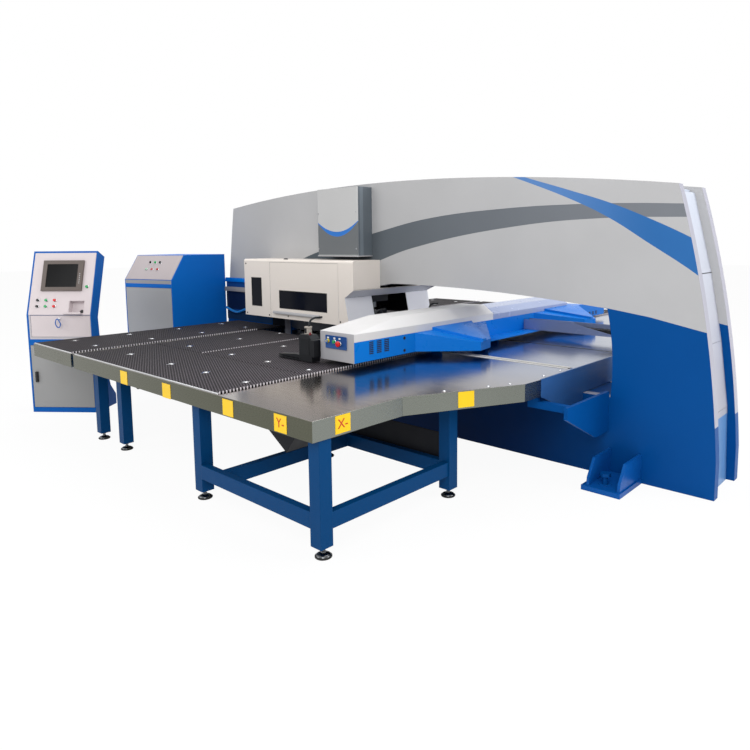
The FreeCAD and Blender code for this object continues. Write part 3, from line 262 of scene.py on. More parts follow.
def mastPaint():
    # sheet cover over the ram: grey front with a blue crescent and a graphite foot, graphite sides
    material, tree, surface, place = startMaterial("enamelMastCover", {"Specular IOR Level": 0.3})
    x, y, z = addNode(tree, "SeparateXYZ", {0: place})
    # crescent between two arcs that dip in the middle of the front
    across = addNode(tree, "Math", {0: y, 1: 1 / 0.292}, operation="MULTIPLY")[0]
    dip = addNode(tree, "Math", {0: across, 1: across}, operation="MULTIPLY")[0]
    upperArc = addNode(tree, "Math", {0: dip, 1: 0.100, 2: 1.867}, operation="MULTIPLY_ADD")[0]
    lowerArc = addNode(tree, "Math", {0: dip, 1: 0.140, 2: 1.820}, operation="MULTIPLY_ADD")[0]
    under = addNode(tree, "Math", {0: z, 1: upperArc}, operation="LESS_THAN")[0]
    foot = addNode(tree, "Math", {0: z, 1: lowerArc}, operation="LESS_THAN")[0]
    lip = addNode(tree, "Math", {0: z, 1: 1.642}, operation="LESS_THAN")[0]
    front = addNode(tree, "Math", {0: x, 1: -0.468}, operation="LESS_THAN")[0]
    face = addNode(tree, "Mix", {0: under, 6: paint("#BBBBBB"), 7: paint("#1F6FC4")}, data_type="RGBA")[2]
    face = addNode(tree, "Mix", {0: foot, 6: face, 7: paint("#63676A")}, data_type="RGBA")[2]
    face = addNode(tree, "Mix", {0: lip, 6: face, 7: paint("#8D9190")}, data_type="RGBA")[2]
    # painted highlight: the sides carry a soft paler upright band where the sheet is folded
    fold = addNode(tree, "Math", {0: x, 1: -0.425, 2: 0.022}, operation="COMPARE")[0]
    side = addNode(tree, "Mix", {0: fold, 6: paint("#5F676E"), 7: paint("#717A82")}, data_type="RGBA")[2]
    colour = addNode(tree, "Mix", {0: front, 6: side, 7: face}, data_type="RGBA")[2]
    finishPaint(tree, surface, place, colour, dict(paintFinish, rough=0.33))
    return material


def guardPaint(name, middle):
    # powder-coated sheet: cream outside; painted shade inside, where the inner faces are drawn near black
    # because light hardly reaches them
    material, tree, surface, place = startMaterial(name, {"Specular IOR Level": 0.3})
    normal = addNode(tree, "NewGeometry")["Normal"]
    away = addNode(tree, "VectorMath", {0: place, 1: middle}, operation="SUBTRACT")[0]
    outward = addNode(tree, "VectorMath", {0: away, 1: normal}, operation="DOT_PRODUCT")["Value"]
    inside = addNode(tree, "Math", {0: outward, 1: 0.0}, operation="LESS_THAN")[0]
    z = addNode(tree, "SeparateXYZ", {0: place})[2]
    turned = addNode(tree, "SeparateXYZ", {0: normal})
    # painted light: the throat-side shields and the underside are drawn a paler, cooler white than the cream
    nearSide = addNode(tree, "Math", {0: turned[1], 1: -0.35}, operation="LESS_THAN")[0]
    low = addNode(tree, "Math", {0: z, 1: 1.27}, operation="LESS_THAN")[0]
    shield = addNode(tree, "Math", {0: nearSide, 1: low}, operation="MULTIPLY")[0]
    under = addNode(tree, "Math", {0: turned[2], 1: -0.4}, operation="LESS_THAN")[0]
    litPaler = addNode(tree, "Math", {0: shield, 1: under}, operation="MAXIMUM")[0]
    outer = addNode(tree, "Mix", {0: litPaler, 6: paint("#E6DED6"), 7: paint("#F4F5FC")}, data_type="RGBA")[2]
    colour = addNode(tree, "Mix", {0: inside, 6: outer, 7: paint("#17171A")}, data_type="RGBA")[2]
    finishPaint(tree, surface, place, colour, dict(paintFinish, rough=0.42, cloud=0.02))
    return material


tableSheet = {"top": "#A59E99", "topRight": "#8B94A8", "skirtLeft": "#5C5D50", "skirtFront": "#858983",
              "skirtRight": "#4A5C78", "topRough": 0.15, "skirtRough": 0.27}


def tableSteel():
    # cold-rolled stainless sheet: the bright-rolled top mirrors what stands on it,
    # and the folded skirts are duller
    material, tree, surface, place = startMaterial("stainlessSheet", {"Metallic": 1.0})
    x, y, z = addNode(tree, "SeparateXYZ", {0: place})
    top = addNode(tree, "Math", {0: z, 1: 0.8095}, operation="GREATER_THAN")[0]
    normal = addNode(tree, "SeparateXYZ", {0: addNode(tree, "NewGeometry")["Normal"]})
    # painted reflection: the skirts are olive where they face left and slate blue near the frame
    left = addNode(tree, "MapRange", {0: normal[0], 1: -0.35, 2: -0.8})[0]
    right = addNode(tree, "MapRange", {0: x, 1: -0.99, 2: -0.90})[0]
    skirt = addNode(tree, "Mix", {0: right, 6: paint(tableSheet["skirtFront"]),
                                  7: paint(tableSheet["skirtRight"])},
                    data_type="RGBA")[2]
    skirt = addNode(tree, "Mix", {0: left, 6: skirt, 7: paint(tableSheet["skirtLeft"])}, data_type="RGBA")[2]
    # rolling lines are far finer than a pixel, so they are drawn about 8 mm apart
    rolled = addNode(tree, "Mapping", {"Vector": place, "Scale": (30.0, 1.0, 30.0)})[0]
    lines = addNode(tree, "TexNoise", {"Vector": rolled, "Scale": 4.0, "Detail": 5.0})[0]
    stains = addNode(tree, "TexNoise", {"Vector": place, "Scale": 1.4, "Detail": 2.0})[0]
    shade = addNode(tree, "MapRange", {0: stains, 1: 0.3, 2: 0.7, 3: 0.93, 4: 1.06})[0]
    # painted reflection: the top is drawn bluer towards the frame
    frameReflection = addNode(tree, "MapRange", {0: x, 1: -1.7, 2: -0.5}, interpolation_type="SMOOTHSTEP")[0]
    topColour = addNode(tree, "Mix", {0: frameReflection, 6: paint(tableSheet["top"]), 7: paint(tableSheet["topRight"])},
                        data_type="RGBA")[2]
    sheet = addNode(tree, "Mix", {0: top, 6: skirt, 7: topColour}, data_type="RGBA")[2]
    colour = addNode(tree, "HueSaturation", {"Color": sheet, "Value": shade})[0]
    tree.links.new(colour, surface.inputs["Base Color"])
    base = addNode(tree, "MapRange", {0: top, 3: tableSheet["skirtRough"], 4: tableSheet["topRough"]})[0]
    spread = addNode(tree, "MapRange", {0: lines, 1: 0.35, 2: 0.65, 3: -0.02, 4: 0.03})[0]
    rough = addNode(tree, "Math", {0: base, 1: spread}, operation="ADD")[0]
    tree.links.new(rough, surface.inputs["Roughness"])
    rounded = addNode(tree, "Bevel", {"Radius": 0.003}, samples=4)[0]
    bump = addNode(tree, "Bump", {"Strength": 0.012, "Distance": 0.0003, "Height": lines,
                                  "Normal": rounded})[0]
    tree.links.new(bump, surface.inputs["Normal"])
    return material


def brushBoard():
    # nylon bristle tufts set in a black board: dark field with staggered paler tuft tips
    pitch = 0.021  # tufts stand about 11 mm apart, drawn at 21 mm so that they show
    material, tree, surface, place = startMaterial("bristleBoard",
                                                   {"Specular IOR Level": 0.2, "Roughness": 0.75})
    x, y = addNode(tree, "SeparateXYZ", {0: place})[0:2]
    rows = addNode(tree, "Math", {0: y, 1: 1 / pitch, 2: 500.0}, operation="MULTIPLY_ADD")[0]
    row = addNode(tree, "Math", {0: rows}, operation="FLOOR")[0]
    odd = addNode(tree, "Math", {0: row, 1: 2.0}, operation="MODULO")[0]
    columns = addNode(tree, "Math", {0: x, 1: 1 / pitch, 2: 500.0}, operation="MULTIPLY_ADD")[0]
    shifted = addNode(tree, "Math", {0: odd, 1: 0.5, 2: columns}, operation="MULTIPLY_ADD")[0]
    cell = [addNode(tree, "Math", {0: addNode(tree, "Math", {0: v}, operation="FRACT")[0], 1: 0.5},
                    operation="SUBTRACT")[0] for v in (shifted, rows)]
    away = addNode(tree, "VectorMath", {0: addNode(tree, "CombineXYZ", {0: cell[0], 1: cell[1]})[0]},
                   operation="LENGTH")["Value"]
    tip = addNode(tree, "MapRange", {0: away, 1: 0.34, 2: 0.16})[0]
    # tips are drawn paler by the operator's edge and darker towards the turret
    turretward = addNode(tree, "MapRange", {0: y, 1: -1.2, 2: 0.9})[0]
    uneven = addNode(tree, "TexNoise", {"Vector": place, "Scale": 2.2, "Detail": 3.0})[0]
    near = addNode(tree, "Mix", {0: uneven, 6: paint("#675E67"), 7: paint("#9C929B")}, data_type="RGBA")[2]
    tipColour = addNode(tree, "Mix", {0: turretward, 6: near, 7: paint("#625C61")}, data_type="RGBA")[2]
    colour = addNode(tree, "Mix", {0: tip, 6: paint("#151416"), 7: tipColour}, data_type="RGBA")[2]
    tree.links.new(colour, surface.inputs["Base Color"])
    fibre = addNode(tree, "TexNoise", {"Vector": place, "Scale": 700.0, "Detail": 1.0})[0]
    height = addNode(tree, "Math", {0: fibre, 1: 0.3, 2: tip}, operation="MULTIPLY_ADD")[0]
    bump = addNode(tree, "Bump", {"Strength": 0.8, "Distance": 0.006, "Height": height})[0]
    tree.links.new(bump, surface.inputs["Normal"])
    return material


def unitPaint(name, spot, turn, code, fields):
    # enamelled sheet cabinet: blue carcass with grey fields masked on its front, in the unit's own frame
    material, tree, surface, place = startMaterial(name, {"Specular IOR Level": 0.1})
    local = addNode(tree, "Mapping", {"Vector": place, "Location": spot,
                                      "Rotation": (0, 0, math.radians(turn))},
                    vector_type="TEXTURE")[0]
    u, depth, z = addNode(tree, "SeparateXYZ", {0: local})
    front = addNode(tree, "Math", {0: depth, 1: 0.002}, operation="LESS_THAN")[0]
    colour = paint(code)
    for field in fields:
        low, high, left, right = field["box"]
        mask = front
        for value, limit, operation in ((z, low, "GREATER_THAN"), (z, high, "LESS_THAN"),
                                        (u, left, "GREATER_THAN"), (u, right, "LESS_THAN")):
            test = addNode(tree, "Math", {0: value, 1: limit}, operation=operation)[0]
            mask = addNode(tree, "Math", {0: mask, 1: test}, operation="MULTIPLY")[0]
        colour = addNode(tree, "Mix", {0: mask, 6: colour, 7: paint(field["colour"])}, data_type="RGBA")[2]
    finishPaint(tree, surface, place, colour, dict(paintFinish, rough=0.4))
    return material


machineBlue = paintedSteel("enamelMachineBlue", "#02478A", specular=0.06)
beamBlue = paintedSteel("enamelBeamBlue", "#0474D2", rough=0.3, specular=0.14)
deepBlue = paintedSteel("enamelDeepBlue", "#033C6C", specular=0.06)
# painted light: the frame's feet get a paler copy of the machine blue
footBlueLit = paintedSteel("enamelMachineBlueLit", "#0A55A2", rough=0.32, specular=0.12)
coverCream = paintedSteel("powderCoatCream", "#DDD5CD", rough=0.42)
coverWhite = paintedSteel("powderCoatWhite", "#D7D6D6", rough=0.42)
coverGrey = paintedSteel("powderCoatGrey", "#A9A9AD", rough=0.42)
# painted reflection: the pale grey cover is given a bluish lavender colour and a strong gloss
coverGreyReflecting = paintedSteel("powderCoatPaleGreyReflecting", "#93A1C6", rough=0.22, specular=0.5)
slateBlue = paintedSteel("enamelSlateBlue", "#1C3554", rough=0.5, specular=0.1)
railBeige = paintedSteel("enamelRailBeige", "#A39C94", rough=0.45)
# painted highlight: the trough's ledge is a lavender strip
ledgeHighlight = paintedSteel("troughLedgeHighlight", "#B9B4E0", rough=0.45)
# painted shade and blue reflection: the stainless front panel gets a dark slate-blue base and little gloss
panelSteelShaded = brushedSteel("stainlessPanelShaded", "#2C5488", rough=0.4, grain=(3.0, 3.0, 12.0), metal=0.15,
                          specular=0.12)
# painted shade: the turrets inside the guard are drawn dark grey
turretSteelShaded = brushedSteel("steelTurretShaded", "#3C3E42", rough=0.34)
panelGrey = paintedSteel("powderCoatPanel", "#CDC3C5", rough=0.5)
doorGrey = paintedSteel("powderCoatDoor", "#939393", rough=0.5)
plateBlue = paintedSteel("enamelPlateBlue", "#174A8C", rough=0.4)
signYellow = paintedSteel("enamelPlateYellow", "#E8BE10", rough=0.35)
signRed = paintedSteel("screenPrintRed", "#C2361C", rough=0.5)
tagWhite = paintedSteel("engravedTagWhite", "#E9E9E6", rough=0.4)
# painted shade: the trough's well is drawn near-black navy
troughWellShade = paintedSteel("troughWellPaintedShade", "#0A1A3C", rough=0.5)
stainless = tableSteel()
groundSteel = brushedSteel("steelGround", "#8A8D90", rough=0.35)
brightSteel = brushedSteel("steelPolished", "#C9CACC", rough=0.16, grain=(20.0, 20.0, 20.0))
blackenedSteel = brushedSteel("steelBlackened", "#26282B", rough=0.42, metal=0.7)
# painted shade: near-black sheets under the table and on the turret supports
shadeSheetDark = paintedSteel("sheetPaintedShade", "#111319", rough=0.5, specular=0.12)
bristles = brushBoard()
paleBristle = mouldedPlastic("nylonBristlePale", "#C9C4C8", rough=0.6)
whiteBristle = mouldedPlastic("nylonBristleWhite", "#DAD8D4", rough=0.6)
rubber = mouldedPlastic("rubberMoulded", "#161616", rough=0.7)
blackPlastic = mouldedPlastic("plasticBlack", "#1B1B1C")
bezelPlastic = mouldedPlastic("plasticBezel", "#5A504B")
greyPlastic = mouldedPlastic("plasticGrey", "#B9B9BC")
hosePlastic = mouldedPlastic("plasticHoseBlue", "#2F86D0", rough=0.35)
strapBlue = mouldedPlastic("nylonStrapBlue", "#1F5FB0", rough=0.6, grit=0.002)
tintedGlass = darkGlass("glassTinted", "#0A0D18", specular=0.06)
screenGlass = darkGlass("glassScreen", "#141415", rough=0.2, specular=0.08)
greenButton = mouldedPlastic("buttonGreen", "#2E9E5B", rough=0.25)
redButton = mouldedPlastic("buttonRed", "#D01E20", rough=0.25)
blackButton = mouldedPlastic("buttonBlack", "#18181A", rough=0.3)
lampYellow = mouldedPlastic("lampYellowGreen", "#C9B42A", rough=0.2)
lampPale = mouldedPlastic("lampPaleGreen", "#9CC4A8", rough=0.2)
lampRed = mouldedPlastic("lampRed", "#B23A3C", rough=0.2)

slotMaterials = {
    "machine_blue": machineBlue, "beam_blue": beamBlue, "deep_blue": deepBlue, "light_grey": coverGrey,
    "cover_cream": coverCream, "cover_white": coverWhite, "cover_grey": coverGreyReflecting, "panel_grey": panelGrey,
    "door_grey": doorGrey, "stainless": stainless, "brush": bristles, "steel": groundSteel,
    "dark_steel": blackenedSteel, "rubber_black": rubber, "black_plastic": blackPlastic,
    "bezel": bezelPlastic,
    "green_button": greenButton, "red_button": redButton, "black_button": blackButton,
}
for part in frame["record"]["subparts"]:
    if part["node"] in nodes:
        dress(nodes[part["node"]], slotMaterials[part["material_slot"]])
units = {
    "console": {"place": (-2.4912, 2.6078, 0), "turn": -51.63, "lift": 1.036,
                "lean": math.degrees(math.atan2(205, 658))},
    "cabinet": {"place": (-1.3373, 2.8238, 0), "turn": -75.0, "lift": 1.347,
                "lean": math.degrees(math.atan2(205, 285))},
}
framePaint = liveryPaint()
dress(nodes["frame_near_plate"], framePaint)
dress(nodes["frame_far_plate"], framePaint)
dress(nodes["frame_webs"], webPaint())
dress(nodes["frame_feet"], footBlueLit)
dress(nodes["table_front_panel"], panelSteelShaded)
# painted shade: the sheets under the table and the turret supports are drawn near black
dress(nodes["under_table_sheets"], shadeSheetDark)
dress(nodes["turret_supports"], shadeSheetDark)
dress(nodes["mast_cover"], mastPaint())
dress(nodes["turret_guard"], guardPaint("powderCoatGuardNear", (-0.30, 0.48, 1.27)))
dress(nodes["turret_guard_far"], guardPaint("powderCoatGuardFar", (0.30, 0.48, 1.27)))
dress(nodes["guard_door"], guardPaint("powderCoatGuardDoor", (-0.642, 0.35, 1.27)))
dress(nodes["console_body"], unitPaint("enamelConsole", units["console"]["place"], units["console"]["turn"],
                                       "#0A5AAB",
      [{"box": (0.780, 1.034, 0.022, 0.690), "colour": "#B9B5B8"}]))
dress(nodes["cabinet_body"], unitPaint("enamelCabinet", units["cabinet"]["place"], units["cabinet"]["turn"],
                                       "#0C6AC6",
      [{"box": (1.303, 1.346, 0.010, 0.760), "colour": "#A2A2A4"}]))
# painted light and shade: the cabinet's panel is a darker copy and its door a paler copy of the console's
# panel and door paints
dress(nodes["cabinet_panel"], paintedSteel("powderCoatCabinetPanel", "#B5ACAD", rough=0.5))
dress(nodes["cabinet_door"], paintedSteel("powderCoatCabinetDoor", "#A9A9A9", rough=0.5))
# painted shade: dark turret steel inside the guard
dress(nodes["upper_turret"], turretSteelShaded)
dress(nodes["lower_turret"], turretSteelShaded)
print("materials on the frame's nodes")


def startFresh():
    if bpy.context.object is not None and bpy.context.object.mode != "OBJECT":
        bpy.ops.object.mode_set(mode="OBJECT")
    bpy.ops.object.select_all(action="DESELECT")


def choose(*pieces):  # only these are selected, the first is active
    startFresh()
    for piece in pieces:
        piece.select_set(True)
    bpy.context.view_layer.objects.active = pieces[0]


def editFaces(piece, test):  # edit mode with the faces that pass the test selected
    choose(piece)
    bpy.ops.object.mode_set(mode="EDIT")
    bpy.ops.mesh.select_mode(type="FACE")
    bpy.ops.mesh.select_all(action="DESELECT")
    mesh = bmesh.from_edit_mesh(piece.data)
    for face in mesh.faces:
        if test(face.calc_center_median(), face.normal):
            face.select_set(True)
    bmesh.update_edit_mesh(piece.data)


def leftward(middle, normal):
    return normal.x < -0.9


def nearward(middle, normal):
    return normal.y < -0.9


def upward(middle, normal):
    return normal.z > 0.9


def downward(middle, normal):
    return normal.z < -0.9


def leaveEdit():
    bpy.ops.object.mode_set(mode="OBJECT")


def insetFaces(piece, test, thickness, shift):  # a raised or sunk field inside a plain border
    editFaces(piece, test)
    bpy.ops.mesh.inset(thickness=thickness)
    bpy.ops.transform.translate(value=shift)
    leaveEdit()


def taperFaces(piece, test, ratio, centre):
    editFaces(piece, test)
    bpy.ops.transform.resize(value=ratio, center_override=centre)
    leaveEdit()


def addBlock(low, high):  # a cube at its size and place
    startFresh()
    bpy.ops.mesh.primitive_cube_add(size=1, location=[(a + b) / 2 for a, b in zip(low, high)],
                                    scale=[b - a for a, b in zip(low, high)])
    bpy.ops.object.transform_apply(location=True, rotation=True, scale=True)
    return bpy.context.object


def roundEdges(piece, width, segments=2, angle=30):
    bevel = piece.modifiers.new("roundedEdges", "BEVEL")
    bevel.width, bevel.segments = width, segments
    bevel.limit_method, bevel.angle_limit = "ANGLE", math.radians(angle)
    choose(piece)
    bpy.ops.object.modifier_apply(modifier=bevel.name)
    bpy.ops.object.shade_smooth_by_angle(angle=math.radians(35))
    return piece


def turnPart(steps, sides=24, soft=30):
    # a turned part: a disc whose top face is extruded and scaled through (radius, height) steps
    startFresh()
    radius, height = steps[0]
    bpy.ops.mesh.primitive_circle_add(vertices=sides, radius=radius, fill_type="NGON",
                                      location=(0, 0, height))
    piece = bpy.context.object
    bpy.ops.object.transform_apply(location=True, rotation=True, scale=True)
    bpy.ops.object.mode_set(mode="EDIT")
    bpy.ops.mesh.select_mode(type="FACE")
    bpy.ops.mesh.select_all(action="SELECT")
    for nextRadius, nextHeight in steps[1:]:
        bpy.ops.mesh.extrude_region_move(TRANSFORM_OT_translate={"value": (0, 0, nextHeight - height)})
        ratio = nextRadius / radius
        bpy.ops.transform.resize(value=(ratio, ratio, 1), center_override=(0, 0, nextHeight))
        radius, height = nextRadius, nextHeight
    bpy.ops.mesh.select_all(action="SELECT")
    bpy.ops.mesh.normals_make_consistent(inside=False)
    leaveEdit()
    bpy.ops.object.shade_smooth_by_angle(angle=math.radians(soft))
    return piece


def tubeAlong(name, spots, radius, closed=False):  # a round tube along a smooth curve, made a mesh
    curve = bpy.data.curves.new(name, "CURVE")
    curve.dimensions, curve.bevel_depth, curve.bevel_resolution = "3D", radius, 3
    curve.use_fill_caps = not closed
    line = curve.splines.new("BEZIER")
    line.bezier_points.add(len(spots) - 1)
    line.use_cyclic_u = closed
    for point, spot in zip(line.bezier_points, spots):
        point.co = spot
        point.handle_left_type = point.handle_right_type = "AUTO"
    tube = bpy.data.objects.new(name, curve)
    bpy.context.scene.collection.objects.link(tube)
    choose(tube)
    bpy.ops.object.convert(target="MESH")
    return bpy.context.object


def joinPieces(pieces):
    choose(*pieces)
    if len(pieces) > 1:
        bpy.ops.object.join()
    return bpy.context.object


def copyOf(piece):  # a copy with its own mesh
    twin = piece.copy()
    twin.data = piece.data.copy()
    bpy.context.scene.collection.objects.link(twin)
    return twin


def copyTo(piece, places):  # one copy with its own mesh at every place, joined into one piece
    made = []
    for place in places:
        twin = copyOf(piece)
        twin.matrix_world = place @ piece.matrix_world
        made.append(twin)
    bpy.data.objects.remove(piece)
    choose(*made)
    bpy.ops.object.transform_apply(location=True, rotation=True, scale=True)
    return joinPieces(made)


def hang(piece, name, material, body="machine", place=None):
    # the finished piece goes to its place in its mesh, gets its finish and rides on its body
    if place is not None:
        piece.matrix_world = place @ piece.matrix_world
    choose(piece)
    bpy.ops.object.transform_apply(location=True, rotation=True, scale=True)
    piece.name = name
    dress(piece, material)
    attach(piece, body)
    return piece


def moved(x, y, z):
    return Matrix.Translation((x, y, z))


faceLeft = Matrix.Rotation(math.radians(-90), 4, "Y")  # a part's upward axis turned to -x
faceNear = Matrix.Rotation(math.radians(90), 4, "X")  # a part's upward axis turned to -y


def unitFrame(name, tilted=True):  # x along the unit's front, y into it, z up its face
    unit = units[name]
    place = Matrix.Translation(unit["place"]) @ Matrix.Rotation(math.radians(unit["turn"]), 4, "Z")
    if tilted:
        place = place @ moved(0, 0, unit["lift"]) @ Matrix.Rotation(math.radians(-unit["lean"]), 4, "X")
    return place


guardDetails = {
    "doorWindow": (-0.015, 0.736, 1.080, 1.262), "sideWindow": (1.053, 1.230, 1.081, 1.386), "sheet": 0.645,
    "lip": 0.005, "screws": [(0.920, 0.991), (0.596, 0.999), (-0.208, 1.000), (1.330, 0.991), (1.330, 1.540)],
    "handle": (0.068, 0.815),
}


def makeGuard():
    sheet, lip = guardDetails["sheet"], guardDetails["lip"]
    for name, side, opening, body in (("guardDoorWindow", -1, "doorWindow", "guard_door"),
                                      ("guardSideWindow", -1, "sideWindow", "machine"),
                                      ("guardFarWindow", 1, "sideWindow", "machine")):
        y0, y1, z0, z1 = guardDetails[opening]
        x0, x1 = sorted((side * (sheet - 0.0015), side * (sheet - 0.0045)))
        pane = addBlock((x0, y0 + 0.0005, z0 + 0.0005), (x1, y1 - 0.0005, z1 - 0.0005))
        insetFaces(pane, lambda middle, normal: normal.x * side > 0.9, 0.004, (side * 0.0008, 0, 0))
        hang(pane, name, tintedGlass, body)
        x0, x1 = sorted((side * (sheet + 0.0002), side * (sheet + 0.002)))
        gasket = addBlock((x0, y0 - lip, z0 - lip), (x1, y1 + lip, z1 + lip))
        editFaces(gasket, lambda middle, normal: abs(normal.x) > 0.9)
        bpy.ops.mesh.inset(thickness=lip * 1.6, use_individual=True)
        bpy.ops.mesh.bridge_edge_loops()
        leaveEdit()
        roundEdges(gasket, 0.0006, 1)
        hang(gasket, name + "Gasket", rubber, body)

    y0, y1 = guardDetails["handle"]
    grip = addBlock((-0.682, y0, 1.019), (-0.660, y1, 1.047))
    editFaces(grip, lambda middle, normal: abs(normal.y) > 0.9)
    bpy.ops.mesh.inset(thickness=0.004, use_individual=True)
    leaveEdit()
    hang(roundEdges(grip, 0.005, 3), "guardDoorHandle", greyPlastic, "guard_door")

    screw = turnPart([(0.009, 0), (0.009, 0.002), (0.006, 0.005), (0.0035, 0.0055), (0.0035, 0.003)], 16)
    doorScrews = [s for s in guardDetails["screws"] if -0.183 < s[0] < 0.894]
    fixedScrews = [s for s in guardDetails["screws"] if s not in doorScrews]
    twin = copyOf(screw)
    hang(copyTo(screw, [moved(-sheet, y, z) @ faceLeft for y, z in doorScrews]), "guardDoorScrews",
         blackPlastic,
         "guard_door")
    hang(copyTo(twin, [moved(-sheet, y, z) @ faceLeft for y, z in fixedScrews]), "guardScrews", blackPlastic)

    # low catch on the guard's top edge
    catch = addBlock((-0.622, 0.625, 1.590), (-0.600, 0.685, 1.602))
    taperFaces(catch, upward, (0.6, 0.7, 1), (-0.611, 0.655, 1.602))
    hang(roundEdges(catch, 0.002), "guardCatch", blackPlastic)


makeGuard()
print("guard: glass, gaskets, handle and screws")

mastDetails = {"screws": [(0.278, 2.052), (-0.268, 2.052), (0.278, 1.70), (-0.268, 1.70)]}


def makeMast():
    screw = turnPart([(0.007, 0), (0.007, 0.0015), (0.005, 0.004), (0.003, 0.0042), (0.003, 0.002)], 12)
    hang(copyTo(screw, [moved(-0.475, y, z) @ faceLeft for y, z in mastDetails["screws"]]), "mastScrews",
         coverGrey)
    # folded flange round the cover's foot
    flange = addBlock((-0.478, -0.297, 1.622), (-0.284, 0.298, 1.634))
    insetFaces(flange, downward, 0.010, (0, 0, 0.004))
    hang(roundEdges(flange, 0.0015), "mastFootFlange", coverGrey)


makeMast()
print("mast cover: screws and foot flange")

beamDetails = {
    "end": -1.541, "face": -1.332, "louvreColumns": [(-1.385, -1.337), (-1.302, -1.248), (-1.219, -1.163)],
    "louvreFoot": 0.918, "louvrePitch": 0.0145, "louvreCount": 7,
    "farColumns": [(2.325, 2.375), (2.410, 2.460), (2.495, 2.543)], "farFoot": 0.885, "farCount": 3,
    "grommets": [(-0.982, 0.991), (-0.982, 0.890)],
    "lamp": (-1.059, 1.012), "start": (-1.131, 1.011), "stop": (-1.188, 1.000), "plate": -1.553,
}


def makeLouvres(name, columns, foot, count):
    pitch, face = beamDetails["louvrePitch"], beamDetails["face"]
    hoods, slots = [], []
    for x0, x1 in columns:
        # pressed hood: a block whose upper edge is slid back into the sheet
        hood = addBlock((x0, face - 0.0030, foot + 0.0035), (x1, face - 0.0002, foot + 0.0080))
        taperFaces(hood, upward, (0.94, 0.25, 1), ((x0 + x1) / 2, face, foot + 0.0080))
        # painted shade: a black block behind each hood stands for the dark opening
        slot = addBlock((x0 + 0.002, face - 0.0022, foot - 0.0055),
                        (x1 - 0.002, face - 0.0001, foot + 0.0038))
        for piece, made in ((hood, hoods), (slot, slots)):
            made.append(copyTo(piece, [moved(0, 0, pitch * i) for i in range(count)]))
    hang(roundEdges(joinPieces(hoods), 0.0008, 1), name + "Hoods", beamBlue, "beam")
    hang(roundEdges(joinPieces(slots), 0.0004, 1), name + "Slots", blackPlastic, "beam")


def makeBeam():
    end, face = beamDetails["end"], beamDetails["face"]
    cover = addBlock((end - 0.003, face - 0.001, 0.861), (end - 0.0002, -0.957, 1.0815))
    insetFaces(cover, leftward, 0.004, (-0.0006, 0, 0))
    hang(roundEdges(cover, 0.001, 1), "beamEndCover", coverGrey, "beam")
    makeLouvres("beamLouvre", beamDetails["louvreColumns"], beamDetails["louvreFoot"],
                beamDetails["louvreCount"])
    makeLouvres("beamFarLouvre", beamDetails["farColumns"], beamDetails["farFoot"], beamDetails["farCount"])
    grommet = turnPart([(0.013, 0), (0.013, 0.002), (0.011, 0.004), (0.007, 0.004), (0.006, 0.001)], 20)
    hang(copyTo(grommet, [moved(x, face, z) @ faceNear for x, z in beamDetails["grommets"]]), "beamGrommets",
         rubber,
         "beam")
    # control plate: legend tags, a lamp, a push button and a mushroom stop
    tag = addBlock((-0.011, -0.006, 0), (0.011, 0.006, 0.0015))
    spots = [(beamDetails[k][0], 1.037) for k in ("lamp", "start", "stop")]
    upright = faceLeft @ Matrix.Rotation(math.radians(90), 4, "Z")
    hang(copyTo(roundEdges(tag, 0.0006, 1), [moved(beamDetails["plate"], y, z) @ upright for y, z in spots]),
         "beamLegendTags", tagWhite, "beam")
    rim = addBlock((-1.5545, -1.262, 0.956), (-1.5532, -1.028, 1.056))
    insetFaces(rim, leftward, 0.003, (0.0004, 0, 0))
    hang(roundEdges(rim, 0.0004, 1), "beamControlPlate", plateBlue, "beam")
    lamp = turnPart([(0.0165, 0), (0.0165, 0.004), (0.0152, 0.006), (0.0148, 0.016), (0.012, 0.022),
                     (0.006, 0.0245)])
    hang(lamp, "beamLamp", lampYellow, "beam",
         moved(-1.5533, *beamDetails["lamp"]) @ faceLeft)
    collar = turnPart([(0.0185, 0), (0.0185, 0.002), (0.0165, 0.0038), (0.0145, 0.0038), (0.0145, 0.0002)])
    hang(copyTo(collar, [moved(-1.5545, *beamDetails[k]) @ faceLeft for k in ("start", "stop")]),
         "beamButtonCollars",
         brightSteel, "beam")
    start = turnPart([(0.0125, 0.0007), (0.0125, 0.011), (0.0118, 0.0125), (0.0095, 0.0132),
                      (0.0085, 0.0125)])
    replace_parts(hang(start, "beamStartButton", greenButton, "beam_start_button",
                     moved(-1.5572, *beamDetails["start"]) @ faceLeft), "beam_start_button")
    stop = turnPart([(0.010, 0.0007), (0.010, 0.010), (0.020, 0.0115), (0.0222, 0.014), (0.0222, 0.018),
                     (0.0205, 0.0222),
                     (0.016, 0.0245), (0.008, 0.0250)], 32)
    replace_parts(hang(stop, "beamStopButton", redButton, "beam_stop_button",
                     moved(-1.5572, *beamDetails["stop"]) @ faceLeft), "beam_stop_button")


makeBeam()
print("beam: end cover, louvres, grommets and control plate")

clampDetails = {"first": -1.545, "pitch": 0.750, "cylinder": (0.012, -0.800), "radius": 0.031,
                "pipe": [(0.030, -0.800, 1.036), (0.030, -0.800, 1.152), (0.156, -0.800, 1.160)],
                "pipeRadius": 0.0085}


